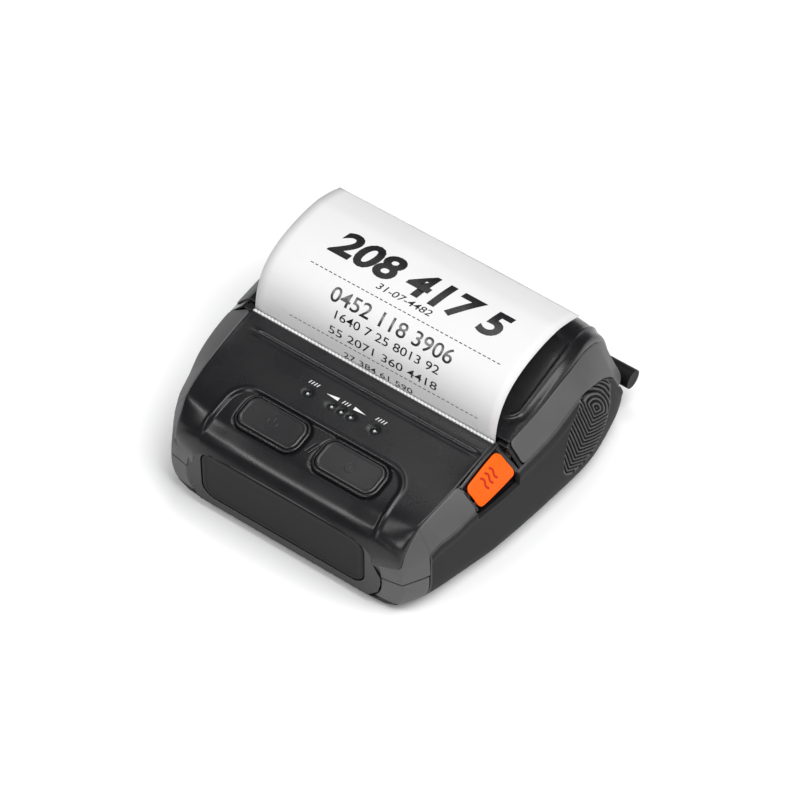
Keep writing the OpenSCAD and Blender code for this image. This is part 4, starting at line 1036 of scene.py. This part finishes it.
trims = {"left": (-1, -14.6), "right": (1, -36.9)}
cornerY = stationY(body["cornerStation"])
noseY = stationY(-0.992)
for label, (side, back) in trims.items():
    pinch = roundedEnds(cornerY, back, 2.2, (False, True))
    strip = sideSkin("strip", side, lambda y, t: bandSpot(y, t, pinch),
                     gridLines(cornerY, back, 1.2, closeEnds=(False, True)), evenLines(0.06),
                     (0, 0.35, 0.35, 0.35))
    block = sideSkin("block", side, bandSpot, gridLines(noseY, cornerY - 0.01, 0.5, closeEnds=(True, False)),
                     evenLines(0.035), (0.35, 0, 0.35, 0.35))
    dress(joined("sideTrim" + label.capitalize(), [strip, block]), "side_trim_" + label)
for label, side in (("Left", -1), ("Right", 1)):
    first, last = lid["frontY"], stationY(0.955)
    pinch = roundedEnds(first, last, 2.6)
    cheek = sideSkin("lidCheek" + label, side, lambda y, t: bandSpot(y, t, pinch),
                     gridLines(first, last, 1.2), evenLines(0.06), (0.35, 0.35, 0.35, 0.35))
    dress(cheek, "lid_cheek_" + label.lower())


# soft grips with a bulge under the upper edge and a field of curved ribs
grip = {"bulge": 0.55, "rearStation": 0.893, "cutLeft": ((30, 37.2, 16.5), (-70, -35.5, 22.65)),
        "cutRight": ((30, 22.8, 30), (70, releaseMiddle, 49.35))}
ribField = {"y": 28, "z": 28.5, "halfLong": 20, "halfHigh": 14, "taper": 0.22, "tilt": 36, "whorl": 8,
            "pitch": 1.65, "lean": 0.42, "deep": 0.9}


def ribShade(y, z):
    a = math.radians(ribField["tilt"])
    dy, dz = y - ribField["y"], z - ribField["z"]
    u = dy * math.cos(a) + dz * math.sin(a)
    w = dz * math.cos(a) - dy * math.sin(a)
    far = u / ribField["halfLong"]
    inside = ease(1.0, 0.96, math.hypot(far, w / (ribField["halfHigh"] * (1 + ribField["taper"] * far))))
    if inside <= 0:
        return 0
    # ribs lean back from a spine along the egg and close over it round a whorl at the upper end
    back = ribField["whorl"] - u
    lean = ribField["lean"] * abs(w)
    reach = math.hypot(lean, back) if back < 0 else back + lean
    return inside * (0.5 * math.cos(reach / ribField["pitch"] * math.tau) - 0.5)


def gripSpot(y, t):
    s = stationOf(y)
    high = trimLow(s) - body["seam"]
    points = [underPoint(s, a) for a in (40, 46, 52, 58, 64, 70, 76, 82, 90)]
    points += [sidePoint(s, body["widestZ"] + (high - body["widestZ"]) * k / 8) for k in range(1, 9)]
    return alongPath(points, t)


def gripRelief(p, v, edgeHighlightLayer):
    below = trimLow(stationOf(p.y)) - body["seam"] - p.z
    bulge = grip["bulge"] * math.exp(-((below - 2.6) / 1.9) ** 2) * ease(-0.2, 1.2, below)
    rib = ribShade(p.y, p.z)
    if rib:
        # painted highlight on the rib crests
        v[edgeHighlightLayer] = max(v[edgeHighlightLayer], min(1, 2.6 * max(rib + 0.45, 0)))
    return bulge + ribField["deep"] * rib


# painted shade in the grooves between the ribs, strongest at the groove bottoms
def paintedGrooveShade(p):
    return -0.1 - ribShade(p.y, p.z)


# the left grip opens for the port cover, the right one for the release button
for label, side in (("Left", -1), ("Right", 1)):
    rubber = sideSkin("sideGrip" + label, side, gripSpot,
                      gridLines(cornerY + 0.3, stationY(grip["rearStation"]), 1.4, [(7, 50, 0.25)]),
                      evenLines(0.03, [(0.26, 0.98, 0.0062)]), (0.5, 0.5, 0.3, 0.7), gripRelief, paintedGrooveShade)
    bake(rubber)
    cut(rubber, box("gripTool", *grip["cut" + label]))
    softEdges(rubber, 0.3, 50)
    dress(rubber, "side_grip_" + label.lower())
    bumper = sideSkin("cornerBumper" + label, side, gripSpot, gridLines(noseY, cornerY - 0.3, 0.45),
                      evenLines(0.03), (0.35, 0.35, 0.3, 0.35))
    dress(bumper, "corner_bumper_" + label.lower())
print("trims, cheeks and grips made")

# glossy frame strips at both ends and along the inner side of the release button, sunk a little
sunk = Vector((0.45, 0, 0.9))


# the point of the slope between rim and edge at x
def slopePoint(rim, edge, x):
    return rim.lerp(edge, (rim.x - x) / (rim.x - edge.x))


def frameEndSpot(y, t):
    low, edge, rim = bandPoints(stationOf(y))
    return alongPath([low, edge, rim.lerp(edge, 0.04)], t) - sunk * 0.7


def frameInnerSpot(y, t):
    edge, rim = bandPoints(stationOf(y))[1:]
    inner, outer = strips["innerX"]
    return slopePoint(rim, edge, inner).lerp(slopePoint(rim, edge, outer), t) - sunk * 0.25


strips = {"front": (-38.2, -35.75), "back": (-14.95, -12.7), "inner": (-36.6, -12.7), "innerX": (56.9, 58.2)}
for name, spot, rows, columns in (
        ("releaseFrameFront", frameEndSpot, gridLines(*strips["front"], 0.5), evenLines(0.05)),
        ("releaseFrameBack", frameEndSpot, gridLines(*strips["back"], 0.5), evenLines(0.05)),
        ("releaseFrameInner", frameInnerSpot, gridLines(*strips["inner"], 1.0), evenLines(0.25))):
    strip = sideSkin(name, 1, spot, rows, columns, (0.3, 0.3, 0.3, 0.3), thick=0.9)
    dress(strip, "front_cover", "part_black")


# black front lip of the lid and a block under it at both ends of the slot; the right ones hide the gears
def lipSpot(y, t):
    p = alongPath(bandPoints(max(stationOf(y), 0.001)), t)
    return Vector((p.x - 0.18, y, p.z - 0.36))


lip = {"frontLeft": -14.3, "frontRight": -12.45, "back": -10.75}
slotEnd = {"frontLeft": -14.1, "frontRight": -12.3, "back": -10.3, "x": 58.6, "foot": 46.1, "wide": 4.0,
           "high": 2.6}
for label, side in (("Left", -1), ("Right", 1)):
    lidLip = sideSkin("lidLip" + label, side, lipSpot, gridLines(lip["front" + label], lip["back"], 0.5),
                      evenLines(0.05), (0.3, 0.3, 0.3, 0.3), thick=0.9)
    dress(lidLip, "lid_frame", "part_black")
for label, side in (("Left", -1), ("Right", 1)):
    front, back = slotEnd["front" + label], slotEnd["back"]
    block = roundedPlate("slotEnd" + label, slotEnd["wide"], back - front, 0.5, slotEnd["high"], 0.3)
    putAt(block, shift(side * slotEnd["x"], (front + back) / 2, slotEnd["foot"]))
    dress(block, "lid_frame", "part_black")

# orange release button
releaseEnds = roundedEnds(release["front"], release["back"], release["corner"])


def releaseSpot(y, t):
    low, edge, rim = bandPoints(stationOf(y))
    inner = slopePoint(rim, edge, release["innerX"])
    t = pinched(t, releaseEnds(y), low, edge, inner)
    p = alongPath([low, edge, inner], t)
    share = (p - edge).length / max((inner - edge).length, 1e-6) if t > 0.1 else 0
    return p + Vector((0.35, 0, 0.6)) * 4 * min(share, 1) * (1 - min(share, 1)) * 0.55


# three wavy strokes on the button: the mark falls from 1 on a stroke's line to 0 at the reach from it
waves = {"x": 60.6, "long": 3.4, "apart": 2.7, "swing": 0.55, "turns": 0.95, "reach": 0.95, "steps": 19}


def waveMark(p):
    best = 9
    for k in (1, 0, -1):
        for i in range(waves["steps"] + 1):
            t = i / waves["steps"]
            dx = p.x - waves["x"] - waves["long"] * t
            wave = k * waves["apart"] + waves["swing"] * math.sin(t * math.tau * waves["turns"])
            best = min(best, math.hypot(dx, p.y - releaseMiddle - wave))
    return 1 - best / waves["reach"]


button = sideSkin("releaseButton", 1, releaseSpot, gridLines(release["front"], release["back"], 0.22),
                  evenLines(0.022), (0.5, 0.5, 0.5, 0.5), mark=waveMark, thick=1.8)
dress(button, "release_button")

# battery panel in the front
dress(panelPlate("batteryPanel", 0, 2, 0.6, (1.2, 0.8, 0.12)), "battery_panel")

# paper sheet, curled back over the lid
sheet = {"half": 56, "startZ": 40.3, "reach": 55, "rise": 26, "thick": 0.2}
# curl of the sheet above the slot, in shares of its reach and rise
curl = [(0, 0), (0.015, 0.25), (0.05, 0.48), (0.11, 0.68), (0.2, 0.835), (0.31, 0.93), (0.43, 0.98),
        (0.56, 1), (0.7, 0.985), (0.85, 0.9), (1, 0.76)]
sheetKnots = [Vector((0, body["slotY"], sheet["startZ"]))]
for a, b in curl:
    sheetKnots.append(Vector((0, body["slotY"] + a * sheet["reach"], body["slotZ"] + b * sheet["rise"])))
runs = [0]
for a, b in zip(sheetKnots, sheetKnots[1:]):
    runs.append(runs[-1] + (b - a).length)
sheetLength = runs[-1]
sheetY = smoothRows([[r, p.y] for r, p in zip(runs, sheetKnots)])
sheetZ = smoothRows([[r, p.z] for r, p in zip(runs, sheetKnots)])


def sheetSpot(x, run):
    return Vector((x, sheetY(run), sheetZ(run) - 0.3 * ease(40, 85, run) * (abs(x) / sheet["half"]) ** 2))


paper = skin("paperSheet", sheetSpot, gridLines(-sheet["half"], sheet["half"], 4, closeEnds=(False, False)),
             gridLines(0, sheetLength, 1.0, closeEnds=(False, False)), (0, 0, 0, 0), thick=sheet["thick"],
             out=lambda p: Vector((0, -1, 0.6)))
paper.modifiers["wall"].offset = 0
dress(paper, "paper_sheet")
print("paper sheet made, length", round(sheetLength, 1), "mm")

# print on the sheet: plain digits and dashed lines, laid flat, split along the run and wrapped on the curl
form = bmesh.new()
# digits, left and right, low and high along the run, weight and lean
printRows = [("208 417 5", -38, 41, 46, 59, 0.035, 0.2),
             ("31-07-4482", -12, 13, 42, 44.8, 0.006, 0.2),
             ("0452 118 3906", -26, 30, 29.6, 35.6, 0.01, 0),
             ("1640 7 25 8013 92", -21, 27, 24, 27.4, 0.004, 0),
             ("55 2071 360 4418", -22, 28, 17.4, 20.8, 0.004, 0),
             ("27 384 61 590", -14, 18, 9.5, 12.2, 0.004, 0)]
dashes = {"runs": (39, 15.5), "count": 41, "left": -40, "pitch": 2.15, "long": 1.35, "half": 0.17}
splitEvery = 1.5
printLift = 0.13
for digits, left, right, low, high, weight, lean in printRows:
    letters = bpy.data.curves.new("printRow", "FONT")
    letters.body = digits
    letters.offset = weight
    letters.shear = lean
    letters.resolution_u = 4
    flat = curveMesh(letters)
    xs = [v.co.x for v in flat.vertices]
    ys = [v.co.y for v in flat.vertices]
    for v in flat.vertices:
        v.co = (left + (v.co.x - min(xs)) / (max(xs) - min(xs)) * (right - left),
                low + (v.co.y - min(ys)) / (max(ys) - min(ys)) * (high - low), 0)
    form.from_mesh(flat)
    bpy.data.meshes.remove(flat)
for run in dashes["runs"]:
    low, high = run - dashes["half"], run + dashes["half"]
    for i in range(dashes["count"]):
        left = dashes["left"] + i * dashes["pitch"]
        right = left + dashes["long"]
        corners = ((left, low), (right, low), (right, high), (left, high))
        form.faces.new([form.verts.new((x, y, 0)) for x, y in corners])
for k in range(6, 42):
    bmesh.ops.bisect_plane(form, geom=form.verts[:] + form.edges[:] + form.faces[:],
                           plane_co=(0, k * splitEvery, 0), plane_no=(0, 1, 0))
for v in form.verts:
    x, run = v.co.x, v.co.y
    along = sheetSpot(x, run + 0.3) - sheetSpot(x, run - 0.3)
    v.co = (sheetSpot(x, run) + Vector((1, 0, 0)).cross(along).normalized() * printLift) * mm
ink = newObject("sheetPrint", form)
dress(ink, "paper_sheet", "part_black")
print("sheet print made, faces", len(ink.data.polygons))

# soft edges on the hard parts that stay as built
for name in ("base_case", "hinge_caps", "rubber_feet", "port_cover", "usb_port", "serial_port", "dc_jack",
             "lid_knuckles", "battery_pack", "platen_holder", "mech_frame", "roll_bay", "stepper_motor",
             "heat_sink"):
    softEdges(frame["nodes"][name], 0.25, 35)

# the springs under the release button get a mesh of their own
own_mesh(frame["nodes"]["release_spring"])

# studio
form = bmesh.new()
bmesh.ops.create_grid(form, x_segments=8, y_segments=8, size=3)
floor = newObject("studioFloor", form)
floorPaint, tree, shader = startMaterial("floorPaper", {"Roughness": 0.8, "Specular IOR Level": 0.1})
place = tree.nodes.new("ShaderNodeTexCoord").outputs["Object"]
paperTone = blendColour(tree, noise(tree, place, 4, 2), (0.93, 0.93, 0.93), (0.96, 0.96, 0.96))
tree.links.new(paperTone, shader.inputs["Base Color"])
floor.data.materials.append(floorPaint)
scene.world = scene.world or bpy.data.worlds.new("studio")
scene.world.use_nodes = True
sky = scene.world.node_tree.nodes["Background"]
sky.inputs["Color"].default_value = (0.95, 0.96, 1.0, 1)
sky.inputs["Strength"].default_value = 0.1
scene.view_settings.view_transform = "Standard"

lampAim = Vector((0, 0, 0.03))
softboxes = {
    "topBox": {"at": (0.55, 0.0, 1.4), "size": (0.9, 0.9), "power": 19},
    "stripBox": {"at": (-0.56, -0.75, 1.17), "size": (0.8, 0.08), "power": 6.5},
    "sheenBox": {"at": (-0.23, 0.52, 1.38), "size": (0.45, 0.45), "power": 3.5},
    "frontBox": {"at": (0.4, -1.3, 0.6), "size": (0.5, 0.5), "power": 5},
    "sideBox": {"at": (1.3, 0.5, 0.7), "size": (0.6, 0.5), "power": 4},
}
for name, softbox in softboxes.items():
    lampData = bpy.data.lights.new(name, "AREA")
    lampData.shape = "RECTANGLE"
    lampData.size, lampData.size_y = softbox["size"]
    lampData.energy = softbox["power"]
    lamp = bpy.data.objects.new(name, lampData)
    lamp.location = softbox["at"]
    lamp.rotation_euler = (lampAim - Vector(softbox["at"])).to_track_quat("-Z", "Y").to_euler()
    scene.collection.objects.link(lamp)

print("studio set, finishing")
